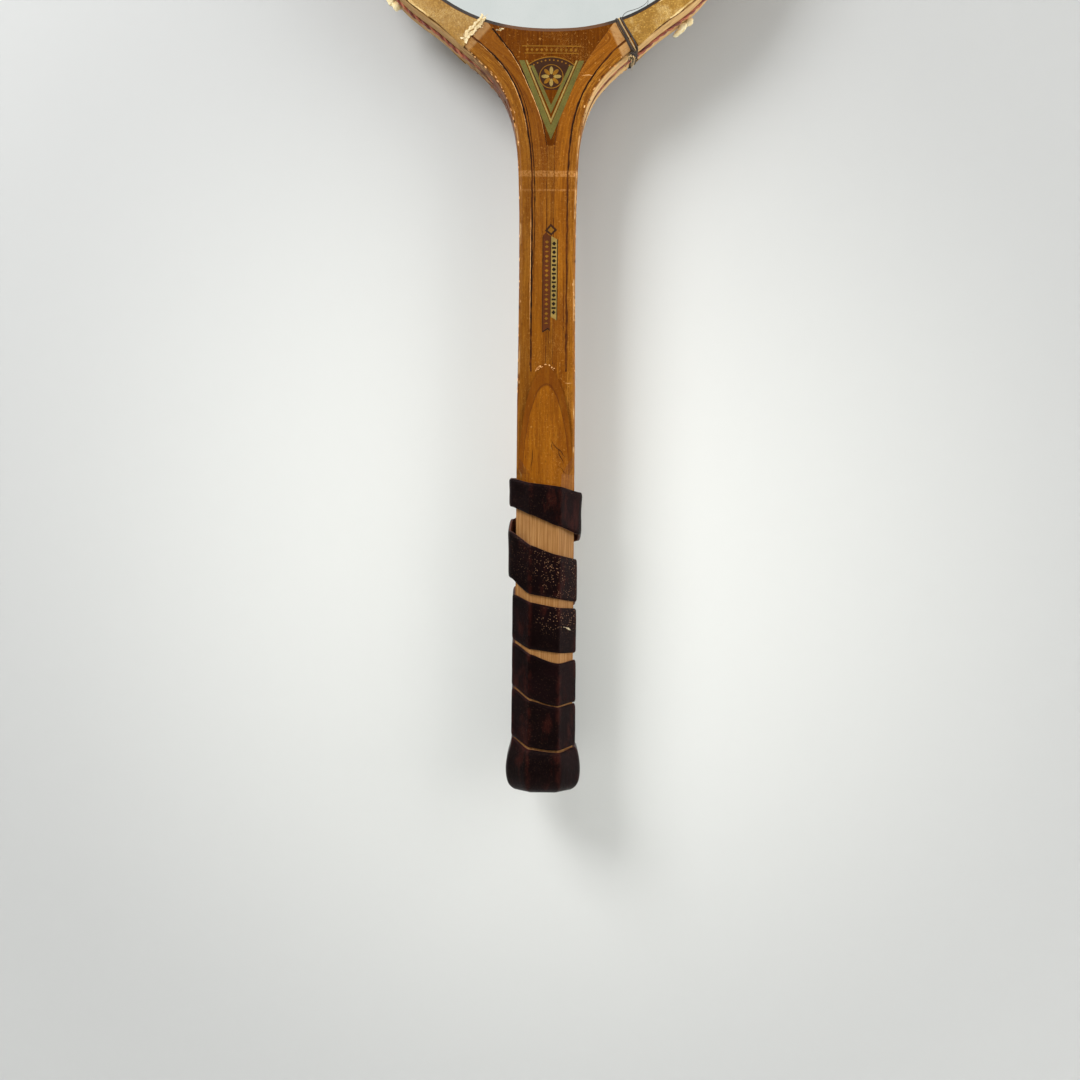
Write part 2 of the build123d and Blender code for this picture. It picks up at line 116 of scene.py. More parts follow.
def even(line, step):
    """The same line with points every step."""
    out = [line[0].copy()]
    left = step
    for a, b in zip(line, line[1:]):
        d = (b - a).length
        pos = 0.0
        while d - pos >= left:
            pos += left
            out.append(a.lerp(b, pos / d))
            left = step
        left -= d - pos
    return out


# ------------------------------------------------------------------ node helper
def lin(r, g, b):
    def f(c):
        c /= 255.0
        return c / 12.92 if c <= 0.04045 else ((c + 0.055) / 1.055) ** 2.4
    return (f(r), f(g), f(b), 1.0)


class Net:
    """Small helper for writing shader nodes as expressions. Values are sockets or numbers."""

    def __init__(self, name):
        self.mat = bpy.data.materials.new(name)
        self.mat.use_nodes = True
        self.t = self.mat.node_tree
        self.t.nodes.clear()
        self.out = self.t.nodes.new("ShaderNodeOutputMaterial")
        self.p = self.t.nodes.new("ShaderNodeBsdfPrincipled")
        self.t.links.new(self.p.outputs[0], self.out.inputs[0])
        tc = self.t.nodes.new("ShaderNodeTexCoord")
        self.obj = tc.outputs["Object"]
        sep = self.t.nodes.new("ShaderNodeSeparateXYZ")
        self.t.links.new(self.obj, sep.inputs[0])
        self.X = self.m("MULTIPLY", sep.outputs[0], 1000.0)
        self.Y = self.m("MULTIPLY_ADD", sep.outputs[1], 1000.0, OY)
        self.Z = self.m("MULTIPLY_ADD", sep.outputs[2], 1000.0, OZ)

    def put(self, socket, v):
        if isinstance(v, (int, float)):
            socket.default_value = v
        elif isinstance(v, tuple):
            socket.default_value = v
        else:
            self.t.links.new(v, socket)

    def m(self, op, a, b=None, c=None, clamp=False):
        n = self.t.nodes.new("ShaderNodeMath")
        n.operation = op
        n.use_clamp = clamp
        self.put(n.inputs[0], a)
        if b is not None:
            self.put(n.inputs[1], b)
        if c is not None:
            self.put(n.inputs[2], c)
        return n.outputs[0]

    def add(self, a, b): return self.m("ADD", a, b)
    def sub(self, a, b): return self.m("SUBTRACT", a, b)
    def mul(self, a, b): return self.m("MULTIPLY", a, b)
    def absv(self, a): return self.m("ABSOLUTE", a)

    def step(self, v, a, b, lo=0.0, hi=1.0):
        """Smooth step of v from lo at a to hi at b."""
        n = self.t.nodes.new("ShaderNodeMapRange")
        n.interpolation_type = "SMOOTHSTEP"
        self.put(n.inputs[0], v)
        if a <= b:
            n.inputs[1].default_value, n.inputs[2].default_value = a, b
            n.inputs[3].default_value, n.inputs[4].default_value = lo, hi
        else:
            n.inputs[1].default_value, n.inputs[2].default_value = b, a
            n.inputs[3].default_value, n.inputs[4].default_value = hi, lo
        return n.outputs[0]

    def vec(self, x, y, z):
        n = self.t.nodes.new("ShaderNodeCombineXYZ")
        for i, v in enumerate((x, y, z)):
            self.put(n.inputs[i], v)
        return n.outputs[0]

    def noise(self, vec, scale, detail=3.0, rough=0.5, dist=0.0):
        n = self.t.nodes.new("ShaderNodeTexNoise")
        self.put(n.inputs["Vector"], vec)
        n.inputs["Scale"].default_value = scale
        n.inputs["Detail"].default_value = detail
        n.inputs["Roughness"].default_value = rough
        n.inputs["Distortion"].default_value = dist
        return n.outputs["Fac"]

    def voronoi(self, vec, scale, feature="F1", rand=1.0):
        n = self.t.nodes.new("ShaderNodeTexVoronoi")
        n.feature = feature
        self.put(n.inputs["Vector"], vec)
        n.inputs["Scale"].default_value = scale
        n.inputs["Randomness"].default_value = rand
        return n.outputs["Distance"]

    def mix(self, f, a, b):
        n = self.t.nodes.new("ShaderNodeMix")
        n.data_type = "RGBA"
        self.put(n.inputs[0], f)
        self.put(n.inputs[6], a)
        self.put(n.inputs[7], b)
        return n.outputs[2]

    def bump(self, h, strength=0.3, dist=0.001, normal=None):
        n = self.t.nodes.new("ShaderNodeBump")
        n.inputs["Strength"].default_value = strength
        n.inputs["Distance"].default_value = dist
        self.put(n.inputs["Height"], h)
        if normal is not None:
            self.t.links.new(normal, n.inputs["Normal"])
        return n.outputs[0]

    def curve(self, v, pts, lo, hi, top):
        """Float curve of v between lo and hi through (v, y) points, y up to top."""
        n = self.t.nodes.new("ShaderNodeFloatCurve")
        c = n.mapping.curves[0]
        n.mapping.use_clip = False
        for i, (x, y) in enumerate(pts):
            u, w = (x - lo) / (hi - lo), y / top
            if i < 2:
                c.points[i].location = (u, w)
            else:
                c.points.new(u, w)
        n.mapping.update()
        t = self.m("DIVIDE", self.sub(v, lo), hi - lo, clamp=True)
        self.put(n.inputs["Value"], t)
        return self.mul(n.outputs[0], top)

    def finish(self, colour, rough=0.5, normal=None, **sockets):
        self.put(self.p.inputs["Base Color"], colour)
        self.put(self.p.inputs["Roughness"], rough)
        if normal is not None:
            self.t.links.new(normal, self.p.inputs["Normal"])
        for k, v in sockets.items():
            self.p.inputs[k.replace("_", " ")].default_value = v
        return self.mat


SHIFT = [(296, 0.0), (308, 0.35), (322, 1.0), (333, 1.9), (342.5, 3.4), (351.5, 5.9), (361, 10.4), (368.8, 16.6), (375.6, 23.6), (382.2, 31.4), (392, 43.0)]


def grain(n, bent=True):
    """Coordinates that run along the wood: up the shaft, out through the throat and round the head. Returns the signed distance across and the distance along, in mm."""
    if not bent:
        return n.X, n.Z
    ax = n.absv(n.X)
    sgn = n.m("SIGN", n.X)
    leg = n.mul(n.sub(ax, n.curve(n.Z, SHIFT, 296.0, 392.0, 50.0)), sgn)
    dx = n.m("DIVIDE", n.X, 116.5)
    dz = n.m("DIVIDE", n.sub(n.Z, 532.0), 154.5)
    r = n.mul(n.m("SQRT", n.add(n.mul(dx, dx), n.mul(dz, dz))), 116.5)
    ring = n.mul(n.sub(r, 102.0), sgn)
    ang = n.mul(n.m("ARCTAN2", ax, n.sub(532.0, n.Z)), 125.0)
    f = n.step(n.Z, 384.0, 398.0)
    across = n.add(n.mul(leg, n.sub(1.0, f)), n.mul(ring, f))
    along = n.add(n.mul(n.Z, n.sub(1.0, f)), n.mul(n.add(ang, 392.0), f))
    return across, along


def wood(name, dark, mid, light, bent=True, kind="", coat=0.07, spec=0.08):
    n = Net(name)
    across, along = grain(n, bent)
    v = n.vec(n.mul(across, 1.0), n.mul(n.Y, 0.6), n.mul(along, 0.035))
    broad = n.noise(n.vec(n.mul(across, 0.12), n.mul(n.Y, 0.1), n.mul(along, 0.008)), 1.0, 3, 0.6)
    streak = n.noise(v, 0.9, 5, 0.65)
    fine = n.noise(n.vec(n.mul(across, 4.0), n.mul(n.Y, 2.5), n.mul(along, 0.16)), 1.0, 4, 0.7)
    pore = n.noise(n.vec(n.mul(across, 5.5), n.mul(n.Y, 4.0), n.mul(along, 0.34)), 1.0, 2, 0.5)
    col = n.mix(n.step(broad, 0.3, 0.7), dark, mid)
    col = n.mix(n.step(streak, 0.42, 0.72, 0.0, 0.75), col, light)
    col = n.mix(n.step(fine, 0.48, 0.7, 0.0, 0.5), col, dark)
    deep = tuple(c * 0.4 for c in dark[:3]) + (1.0,)
    pm = n.step(pore, 0.6, 0.7, 0.0, 0.62)
    col = n.mix(pm, col, deep)
    side = n.step(n.absv(n.Y), 9.15, 8.6)
    thin = n.noise(n.vec(n.mul(across, 3.2), n.mul(n.Y, 2.2), n.mul(along, 0.05)), 1.0, 3, 0.6)
    col = n.mix(n.step(thin, 0.58, 0.68, 0.0, 0.45), col, light)
    # dirt, small dents and pale scratches in the lacquer
    grime = n.noise(n.obj, 90.0, 6, 0.7)
    col = n.mix(n.step(grime, 0.55, 0.8, 0.0, 0.35), col, deep)
    sc = n.noise(n.vec(n.mul(n.X, 0.35), n.mul(n.Y, 0.3), n.mul(n.Z, 1.6)), 1.0, 2, 0.5, 0.6)
    sc2 = n.noise(n.vec(n.mul(n.X, 1.9), n.mul(n.Y, 1.0), n.mul(n.Z, 0.22)), 1.0, 2, 0.5, 1.2)
    patch = n.step(n.noise(n.obj, 38.0, 2, 0.5), 0.5, 0.62)
    hair = n.mul(n.m("MAXIMUM", n.step(n.absv(n.sub(sc, 0.5)), 0.006, 0.0), n.step(n.absv(n.sub(sc2, 0.5)), 0.005, 0.0)), patch)
    pale = lin(206, 150, 74)
    col = n.mix(n.mul(hair, 0.7), col, pale)
    nick = n.noise(n.vec(n.mul(n.X, 1.5), n.mul(n.Y, 1.5), n.mul(n.Z, 0.7)), 1.0, 3, 0.75)
    col = n.mix(n.mul(n.step(nick, 0.68, 0.73), 0.6), col, pale)
    glow = n.noise(n.vec(n.mul(across, 0.5), n.mul(n.Y, 0.5), n.mul(along, 0.05)), 1.0, 4, 0.6, 0.4)
    col = n.mix(n.step(glow, 0.56, 0.74, 0.0, 0.4), col, light)
    height = n.add(n.mul(streak, 0.5), n.add(n.mul(fine, 0.5), n.mul(pm, -0.9)))
    gold = n.noise(n.vec(n.mul(across, 1.3), n.mul(n.Y, 1.0), n.mul(along, 0.22)), 1.0, 5, 0.75)
    tz = n.step(n.Z, 322.0, 350.0, 0.3, 1.0)
    if kind == "outer":
        col = n.mix(n.mul(n.step(gold, 0.5, 0.7, 0.0, 0.75), tz), col, lin(204, 138, 44))
    elif kind == "inner":
        col = n.mix(n.mul(n.step(gold, 0.56, 0.74, 0.0, 0.5), tz), col, lin(184, 116, 26))
    speckle = n.noise(n.obj, 950.0, 3, 0.6)
    col = n.mix(n.step(speckle, 0.6, 0.72, 0.0, 0.35), col, pale)
    col = n.mix(n.step(speckle, 0.4, 0.3, 0.0, 0.4), col, deep)
    rough = n.add(0.3, n.add(n.mul(grime, 0.18), n.mul(hair, 0.2)))
    if kind in ("outer", "inner"):
        # worn rings where the binding tape sat
        band = n.m("MAXIMUM", n.mul(n.step(n.absv(n.sub(n.Z, 316.6)), 1.9, 1.2), 0.75), n.mul(n.step(n.absv(n.sub(n.Z, 308.2)), 0.7, 0.3), 0.5))
        worn = n.step(n.noise(n.vec(n.mul(n.X, 0.8), 0.0, n.mul(n.Z, 0.9)), 1.0, 4, 0.7), 0.36, 0.6)
        front = n.step(n.absv(n.Y), 8.6, 9.1)
        col = n.mix(n.mul(n.mul(band, worn), 0.62), col, lin(206, 148, 84))
        # bands beside the shoulders where the whipping was
        dr = n.sub(n.mul(n.sub(n.X, 35.6), -0.908), n.mul(n.sub(n.Z, 394.9), 0.419))
        dl = n.sub(n.mul(n.add(n.X, 33.7), 0.75), n.mul(n.sub(n.Z, 396.3), 0.66))
        br = n.mul(n.mul(n.step(dr, -1.5, 0.2), n.step(dr, 6.4, 5.0)), n.step(n.X, 20.0, 24.0))
        bl = n.mul(n.mul(n.step(dl, -3.0, 0.2), n.step(dl, 6.6, 5.0)), n.step(n.X, -20.0, -24.0))
        res = n.mul(n.m("MAXIMUM", br, bl), n.step(n.noise(n.obj, 420.0, 4, 0.7), 0.25, 0.6, 0.35, 0.95))
        col = n.mix(n.mul(res, 0.6), col, lin(196, 156, 104))
        rough = n.add(rough, n.mul(res, 0.3))
    if kind == "outer":
        # bare ash on the outer wall of the head, stained and chipped towards the throat
        bare_n = n.noise(n.vec(n.mul(along, 0.06), n.mul(n.Y, 1.3), n.mul(across, 0.3)), 1.0, 5, 0.65)
        bare = n.mix(n.step(bare_n, 0.3, 0.72), lin(188, 144, 88), lin(224, 186, 128))
        bare = n.mix(n.step(n.noise(n.vec(n.mul(along, 0.25), n.mul(n.Y, 4.0), 0.0), 1.0, 3, 0.6), 0.6, 0.72, 0.0, 0.5), bare, lin(150, 104, 56))
        low_r = n.mul(n.step(n.Z, 338.0, 352.0), n.step(n.X, 0.0, 1.0))
        zone = n.mul(side, n.m("MAXIMUM", n.step(n.Z, 362.0, 376.0), low_r))
        col = n.mix(zone, col, bare)
        red = n.mul(n.mul(side, n.step(n.absv(n.sub(n.Y, 0.6)), 3.2, 1.6)), n.mul(n.step(n.Z, 316.0, 332.0), n.step(n.Z, 380.0, 366.0)))
        wide = n.mul(n.mul(side, n.step(n.X, 0.0, -1.0)), n.mul(n.step(n.Z, 322.0, 340.0), n.step(n.Z, 386.0, 374.0)))
        wide = n.mul(wide, n.step(n.noise(n.vec(n.mul(n.X, 0.3), n.mul(n.Y, 0.45), n.mul(n.Z, 0.12)), 1.0, 4, 0.65), 0.38, 0.6))
        red = n.m("MAXIMUM", red, wide)
        col = n.mix(n.mul(red, 0.75), col, lin(92, 34, 18))
        edge = n.mul(n.step(n.absv(n.sub(n.absv(n.Y), 8.9)), 0.34, 0.12), n.step(n.noise(n.obj, 160.0, 3, 0.6), 0.4, 0.55, 0.35, 1.0))
        dk = n.mul(edge, n.step(n.Z, 366.0, 378.0))
        col = n.mix(n.mul(dk, 0.8), col, lin(60, 34, 14))
        chip = n.mul(n.mul(edge, n.step(n.noise(n.obj, 75.0, 2, 0.5), 0.55, 0.6)), n.step(n.Z, 372.0, 358.0))
        col = n.mix(n.mul(chip, 0.8), col, lin(214, 168, 108))
        rough = n.add(rough, n.mul(zone, 0.25))
    if kind in ("outer", "inner"):
        # painted shade: the left leg is coloured darker, where less light reaches it
        col = n.mix(n.step(n.X, 12.0, -13.0, 0.0, 0.34), col, deep)
    # bare wood where the grip covers it
    lowz = n.step(n.Z, 153.0, 151.0)
    raw_n = n.noise(n.vec(n.mul(n.X, 1.1), n.mul(n.Y, 1.1), n.mul(n.Z, 0.03)), 1.0, 4, 0.6)
    raw = n.mix(n.step(raw_n, 0.35, 0.7), lin(136, 92, 48), lin(168, 124, 76))
    raw = n.mix(n.step(n.noise(n.vec(n.mul(n.X, 5.0), n.mul(n.Y, 5.0), n.mul(n.Z, 0.2)), 1.0, 3, 0.6), 0.62, 0.74, 0.0, 0.4), raw, lin(140, 92, 52))
    raw = n.mix(n.step(n.noise(n.obj, 130.0, 4, 0.65), 0.52, 0.75, 0.0, 0.55), raw, lin(132, 88, 50))
    col = n.mix(lowz, col, raw)
    rough = n.add(rough, n.mul(lowz, 0.28))
    nrm = n.bump(height, 0.22, 0.0004)
    nrm = n.bump(n.noise(n.obj, 60.0, 2, 0.5), 0.12, 0.0012, nrm)
    return n.finish(col, rough, nrm, Coat_Weight=coat, Coat_Roughness=0.16, Specular_IOR_Level=spec)


M = {}
M["outer"] = wood("lacquered_ash_outer", lin(106, 56, 5), lin(142, 84, 12), lin(170, 112, 34), kind="outer")
M["inner"] = wood("lacquered_ash_inner", lin(104, 52, 3), lin(142, 82, 8), lin(164, 102, 22), kind="inner")
M["strip"] = wood("lacquered_strip", lin(106, 56, 4), lin(138, 82, 10), lin(162, 102, 24), bent=False, kind="inner")
M["wedge"] = wood("mahogany_wedge", lin(76, 34, 2), lin(98, 50, 4), lin(118, 66, 8), bent=False, coat=0.03, spec=0.03)


def pallet_material():
    """The pallet's wood, bare lower down where the grip covers it; its light inner arch inside a darker border is added
    afterwards by add_arch.
    """
    mat = wood("handle_pallet_wood", lin(112, 58, 3), lin(140, 80, 7), lin(158, 98, 16), bent=False)
    return mat


M["pallet"] = pallet_material()


def add_arch(mat):
    t = mat.node_tree
    p = next(x for x in t.nodes if x.type == "BSDF_PRINCIPLED")
    src = p.inputs["Base Color"].links[0].from_socket
    n = Net.__new__(Net)
    n.mat, n.t, n.p = mat, t, p
    tc = t.nodes.new("ShaderNodeTexCoord")
    n.obj = tc.outputs["Object"]
    sep = t.nodes.new("ShaderNodeSeparateXYZ")
    t.links.new(n.obj, sep.inputs[0])
    n.X = n.m("MULTIPLY", sep.outputs[0], 1000.0)
    n.Y = n.m("MULTIPLY_ADD", sep.outputs[1], 1000.0, OY)
    n.Z = n.m("MULTIPLY_ADD", sep.outputs[2], 1000.0, OZ)
    dx = n.m("DIVIDE", n.X, 12.3)
    dz = n.m("DIVIDE", n.m("MAXIMUM", n.sub(n.Z, 150.0), 0.0), 58.5)
    e = n.add(n.mul(dx, dx), n.mul(dz, dz))
    wob = n.mul(n.sub(n.noise(n.obj, 160.0, 3, 0.6), 0.5), 0.10)
    e = n.add(e, wob)
    border = n.mul(n.step(e, 0.93, 1.04), n.step(n.Z, 150.0, 153.0))
    col = n.mix(n.mul(border, 0.55), src, lin(96, 46, 2))
    line = n.mul(n.step(n.absv(n.sub(e, 1.0)), 0.035, 0.012), n.step(n.Z, 154.0, 158.0))
    col = n.mix(n.mul(line, 0.5), col, lin(70, 30, 8))
    t.links.new(col, p.inputs["Base Color"])


add_arch(M["pallet"])


def simple(name, c1, c2, scale=300.0, rough=0.5, bump=0.2, bd=0.0003, stretch=(1, 1, 1), **kw):
    n = Net(name)
    v = n.vec(n.mul(n.X, 0.001 * stretch[0]), n.mul(n.Y, 0.001 * stretch[1]), n.mul(n.Z, 0.001 * stretch[2]))
    a = n.noise(v, scale, 5, 0.65)
    b = n.noise(v, scale * 0.13, 3, 0.5)
    col = n.mix(n.step(n.add(n.mul(a, 0.6), n.mul(b, 0.4)), 0.36, 0.64), c1, c2)
    r = n.add(rough, n.mul(n.sub(a, 0.5), 0.25))
    return n.finish(col, r, n.bump(a, bump, bd), **kw)


def by_wedge(mat, c):
    """Browner where the wedge closes the bottom of the opening."""
    t = mat.node_tree
    p = next(x for x in t.nodes if x.type == "BSDF_PRINCIPLED")
    src = p.inputs["Base Color"].links[0].from_socket
    n = Net.__new__(Net)
    n.mat, n.t, n.p = mat, t, p
    sep = next(x for x in t.nodes if x.type == "SEPXYZ")
    x = n.m("MULTIPLY", sep.outputs[0], 1000.0)
    z = n.m("MULTIPLY_ADD", sep.outputs[2], 1000.0, OZ)
    f = n.mul(n.step(n.absv(n.sub(x, 3.0)), 31.0, 22.0), n.step(z, 402.0, 398.0))
    t.links.new(n.mix(n.mul(f, 0.85), src, c), p.inputs["Base Color"])


M["liner"] = simple("dark_liner", lin(20, 13, 7), lin(44, 30, 17), 500, 0.5)
M["sealant"] = simple("dark_sealant", lin(12, 11, 9), lin(28, 25, 20), 300, 0.55, 0.3)
by_wedge(M["liner"], lin(98, 58, 22))
by_wedge(M["sealant"], lin(84, 60, 36))
M["brass"] = simple("dull_brass", lin(140, 108, 52), lin(188, 152, 84), 350, 0.35, 0.15, Metallic=1.0)
M["steel"] = simple("stamped_steel", lin(120, 120, 118), lin(172, 172, 170), 350, 0.35, 0.15, Metallic=1.0)
M["hardboard"] = simple("hardboard_back", lin(84, 56, 32), lin(122, 84, 50), 900, 0.75, 0.5, 0.0004)
M["red_string"] = simple("red_string", lin(84, 30, 18), lin(150, 66, 40), 900, 0.6, 0.4, 0.0002, Sheen_Weight=0.2)
M["red_string2"] = simple("red_string_pale", lin(132, 66, 42), lin(186, 108, 72), 900, 0.6, 0.4, 0.0002)
M["thread_dark"] = simple("dark_thread", lin(20, 14, 9), lin(58, 44, 28), 2500, 0.6, 0.5, 0.0001)
M["thread_light"] = simple("light_thread", lin(150, 120, 80), lin(200, 172, 122), 2500, 0.7, 0.5, 0.0001)
M["raw_flake"] = simple("torn_parchment", lin(196, 170, 118), lin(240, 224, 186), 700, 0.8, 0.6, 0.0003)
M["fringe"] = simple("frayed_border", lin(176, 138, 74), lin(228, 200, 140), 800, 0.8, 0.6, 0.0003)
M["tab"] = simple("torn_tab", lin(214, 186, 128), lin(250, 238, 196), 420, 0.7, 0.7, 0.0005)
M["line_dark"] = simple("glue_line_dark", lin(10, 5, 1), lin(38, 18, 4), 900, 0.7, 0.3, 0.0002, Specular_IOR_Level=0.08)
M["line_brown"] = simple("glue_line_brown", lin(54, 24, 2), lin(92, 46, 5), 700, 0.6, 0.3, 0.0002, Specular_IOR_Level=0.1)
# pale colour of the chips and flaked lacquer, also used as painted highlight along the crack edges
M["line_light"] = simple("pale_chip_and_crack_highlight", lin(190, 126, 60), lin(232, 180, 112), 900, 0.6, 0.3, 0.0002)


def vellum_material():
    n = Net("aged_vellum")
    across, along = grain(n)
    cloud = n.noise(n.obj, 55.0, 4, 0.6)
    mott = n.noise(n.obj, 260.0, 5, 0.7)
    col = n.mix(n.step(cloud, 0.3, 0.7), lin(140, 98, 24), lin(170, 126, 44))
    col = n.mix(n.step(mott, 0.5, 0.8, 0.0, 0.4), col, lin(192, 152, 76))
    col = n.mix(n.step(n.noise(n.obj, 120.0, 5, 0.7), 0.6, 0.8, 0.0, 0.5), col, lin(98, 62, 14))
    gr = n.noise(n.obj, 1100.0, 4, 0.7)
    col = n.mix(n.step(gr, 0.52, 0.66, 0.0, 0.6), col, lin(212, 170, 84))
    col = n.mix(n.step(gr, 0.47, 0.36, 0.0, 0.6), col, lin(112, 78, 18))
    # crossing pale fibres
    fib = None
    for i, (ca, sa, sc) in enumerate(((0.94, 0.34, 1.0), (0.5, -0.87, 1.2), (-0.2, 0.98, 0.9), (0.77, 0.64, 1.4), (0.2, -0.98, 1.8), (0.87, -0.5, 1.6))):
        u = n.add(n.mul(n.X, ca), n.mul(n.Z, sa))
        w = n.sub(n.mul(n.X, sa), n.mul(n.Z, ca))
        f = n.noise(n.vec(n.mul(u, 0.16 * sc), float(i) * 7.3, n.mul(w, 1.1 * sc)), 1.0, 2, 0.5, 0.5)
        s = n.step(n.absv(n.sub(f, 0.5)), 0.016, 0.004)
        fib = s if fib is None else n.m("MAXIMUM", fib, s)
    fm = n.mul(fib, n.step(n.noise(n.obj, 110.0, 3, 0.6), 0.42, 0.62, 0.05, 1.0))
    col = n.mix(n.mul(fm, 0.62), col, lin(226, 196, 128))
    # painted shade: the vellum is coloured darker towards the left, where less light reaches it
    col = n.mix(n.step(n.X, 0.0, -30.0, 0.0, 0.36), col, lin(104, 66, 10))
    h = n.add(n.mul(fm, 0.8), n.mul(mott, 0.5))
    nrm = n.bump(h, 0.35, 0.0003)
    nrm = n.bump(cloud, 0.2, 0.0012, nrm)
    return n.finish(col, n.add(0.36, n.mul(mott, 0.25)), nrm, Coat_Weight=0.1, Coat_Roughness=0.3, Specular_IOR_Level=0.3)


M["vellum"] = vellum_material()


def leather_material(name, c_dark, c_mid, c_worn_and_highlight):
    n = Net(name)
    grainy = n.voronoi(n.obj, 1500.0, "DISTANCE_TO_EDGE")
    pebble = n.step(grainy, 0.0, 0.22)
    cloud = n.noise(n.obj, 55.0, 5, 0.65)
    worn = n.noise(n.vec(n.mul(n.X, 0.13), n.mul(n.Y, 0.12), n.mul(n.Z, 0.045)), 1.0, 5, 0.7)
    col = n.mix(n.step(cloud, 0.35, 0.7), c_dark, c_mid)
    # lighter along the facet edges and in patches: the patches are rubbed wear, the facet edges partly rubbed wear and
    # partly a painted highlight
    e1 = n.step(n.absv(n.sub(n.absv(n.X), FX + 0.5)), 2.2, 0.0)
    e2 = n.step(n.absv(n.sub(n.absv(n.Y), FY + 0.5)), 2.2, 0.0)
    edge_rub_and_highlight = n.m("MAXIMUM", n.mul(e1, n.step(n.absv(n.Y), 12.5, 13.5)), n.mul(e2, n.step(n.absv(n.X), 13.8, 14.8)))
    edge_rub_and_highlight = n.mul(edge_rub_and_highlight, n.step(n.noise(n.obj, 85.0, 4, 0.7), 0.42, 0.6))
    col = n.mix(n.m("MAXIMUM", n.step(worn, 0.52, 0.7, 0.0, 0.8), n.mul(edge_rub_and_highlight, 0.8)), col, c_worn_and_highlight)
    # pin holes of the perforated leather, some with pale dust in them
    dots = n.voronoi(n.obj, 560.0, "F1", 0.5)
    hole = n.step(dots, 0.26, 0.14)
    dusty = n.step(n.noise(n.obj, 38.0, 3, 0.6), 0.36, 0.56)
    speck = n.voronoi(n.obj, 1050.0, "F1", 1.0)
    keep = n.step(n.noise(n.obj, 700.0, 2, 0.5), 0.42, 0.5)
    where = n.add(0.08, n.mul(n.mul(n.step(n.Z, 80.0, 88.0), n.step(n.Z, 138.0, 129.0)), n.step(n.X, -9.0, 0.0, 0.15, 0.9)))
    dust = n.mul(n.mul(n.mul(n.step(speck, 0.3, 0.17), dusty), keep), where)
    col = n.mix(n.mul(hole, 0.7), col, lin(5, 2, 2))
    col = n.mix(n.mul(dust, 0.85), col, lin(158, 118, 88))
    h = n.add(n.mul(pebble, 0.5), n.mul(hole, -1.0))
    nrm = n.bump(h, 0.35, 0.00025)
    nrm = n.bump(cloud, 0.25, 0.001, nrm)
    rough = n.add(n.add(0.24, n.mul(cloud, 0.2)), n.mul(dusty, 0.12))
    n.p.inputs["Specular Tint"].default_value = (1.0, 0.62, 0.62, 1.0)
    return n.finish(col, rough, nrm, Specular_IOR_Level=0.09)


M["leather"] = leather_material("grip_leather", lin(4, 1, 1), lin(12, 2, 3), lin(46, 16, 10))
M["leather_edge"] = simple("leather_cut_edge", lin(58, 26, 20), lin(104, 58, 42), 1200, 0.7, 0.5, 0.0003)


def mirror_material():
    n = Net("silvered_glass")
    a = n.noise(n.obj, 30.0, 4, 0.6)
    b = n.noise(n.obj, 900.0, 3, 0.6)
    col = n.mix(n.step(a, 0.35, 0.7), (0.83, 0.86, 0.85, 1), (0.88, 0.9, 0.89, 1))
    rough = n.add(0.03, n.mul(n.step(n.noise(n.obj, 14.0, 5, 0.6), 0.45, 0.75), 0.05))
    return n.finish(col, rough, n.bump(b, 0.02, 0.0001), Metallic=1.0)


M["mirror"] = mirror_material()

for node, key in {
    "outer_ply": "outer", "inner_ply": "inner", "throat_wedge": "wedge", "centre_strip": "strip", "liner_ply": "liner",
    "handle_pallet_front": "pallet", "handle_pallet_back": "pallet", "front_vellum": "vellum", "back_vellum": "vellum",
    "butt_collar": "pallet", "butt_disc": "leather", "butt_tacks": "brass", "mirror_glass": "mirror", "mirror_sealant": "sealant",
    "backing_board": "hardboard", "glazier_points": "steel", "hanger_plate": "brass", "hanger_screws": "brass",
}.items():
    for o in bpy.data.objects:
        if o.name == node or o.get("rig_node") == node:
            for s in o.material_slots:
                s.link = "OBJECT"
                s.material = M[key]
            if not o.material_slots:
                o.data.materials.append(M[key])


# ------------------------------------------------------------------ mesh helpers
def make(name, verts, faces, mats, smooth=True, face_mats=None):
    me = bpy.data.meshes.new(name)
    me.from_pydata([tuple(v) for v in verts], [], faces)
    for mt in mats:
        me.materials.append(mt)
    if face_mats:
        for p, i in zip(me.polygons, face_mats):
            p.material_index = i
    for p in me.polygons:
        p.use_smooth = smooth
    me.update()
    bm = bmesh.new()
    bm.from_mesh(me)
    bmesh.ops.recalc_face_normals(bm, faces=bm.faces)
    bm.to_mesh(me)
    bm.free()
    o = bpy.data.objects.new(name, me)
    scene.collection.objects.link(o)
    return o


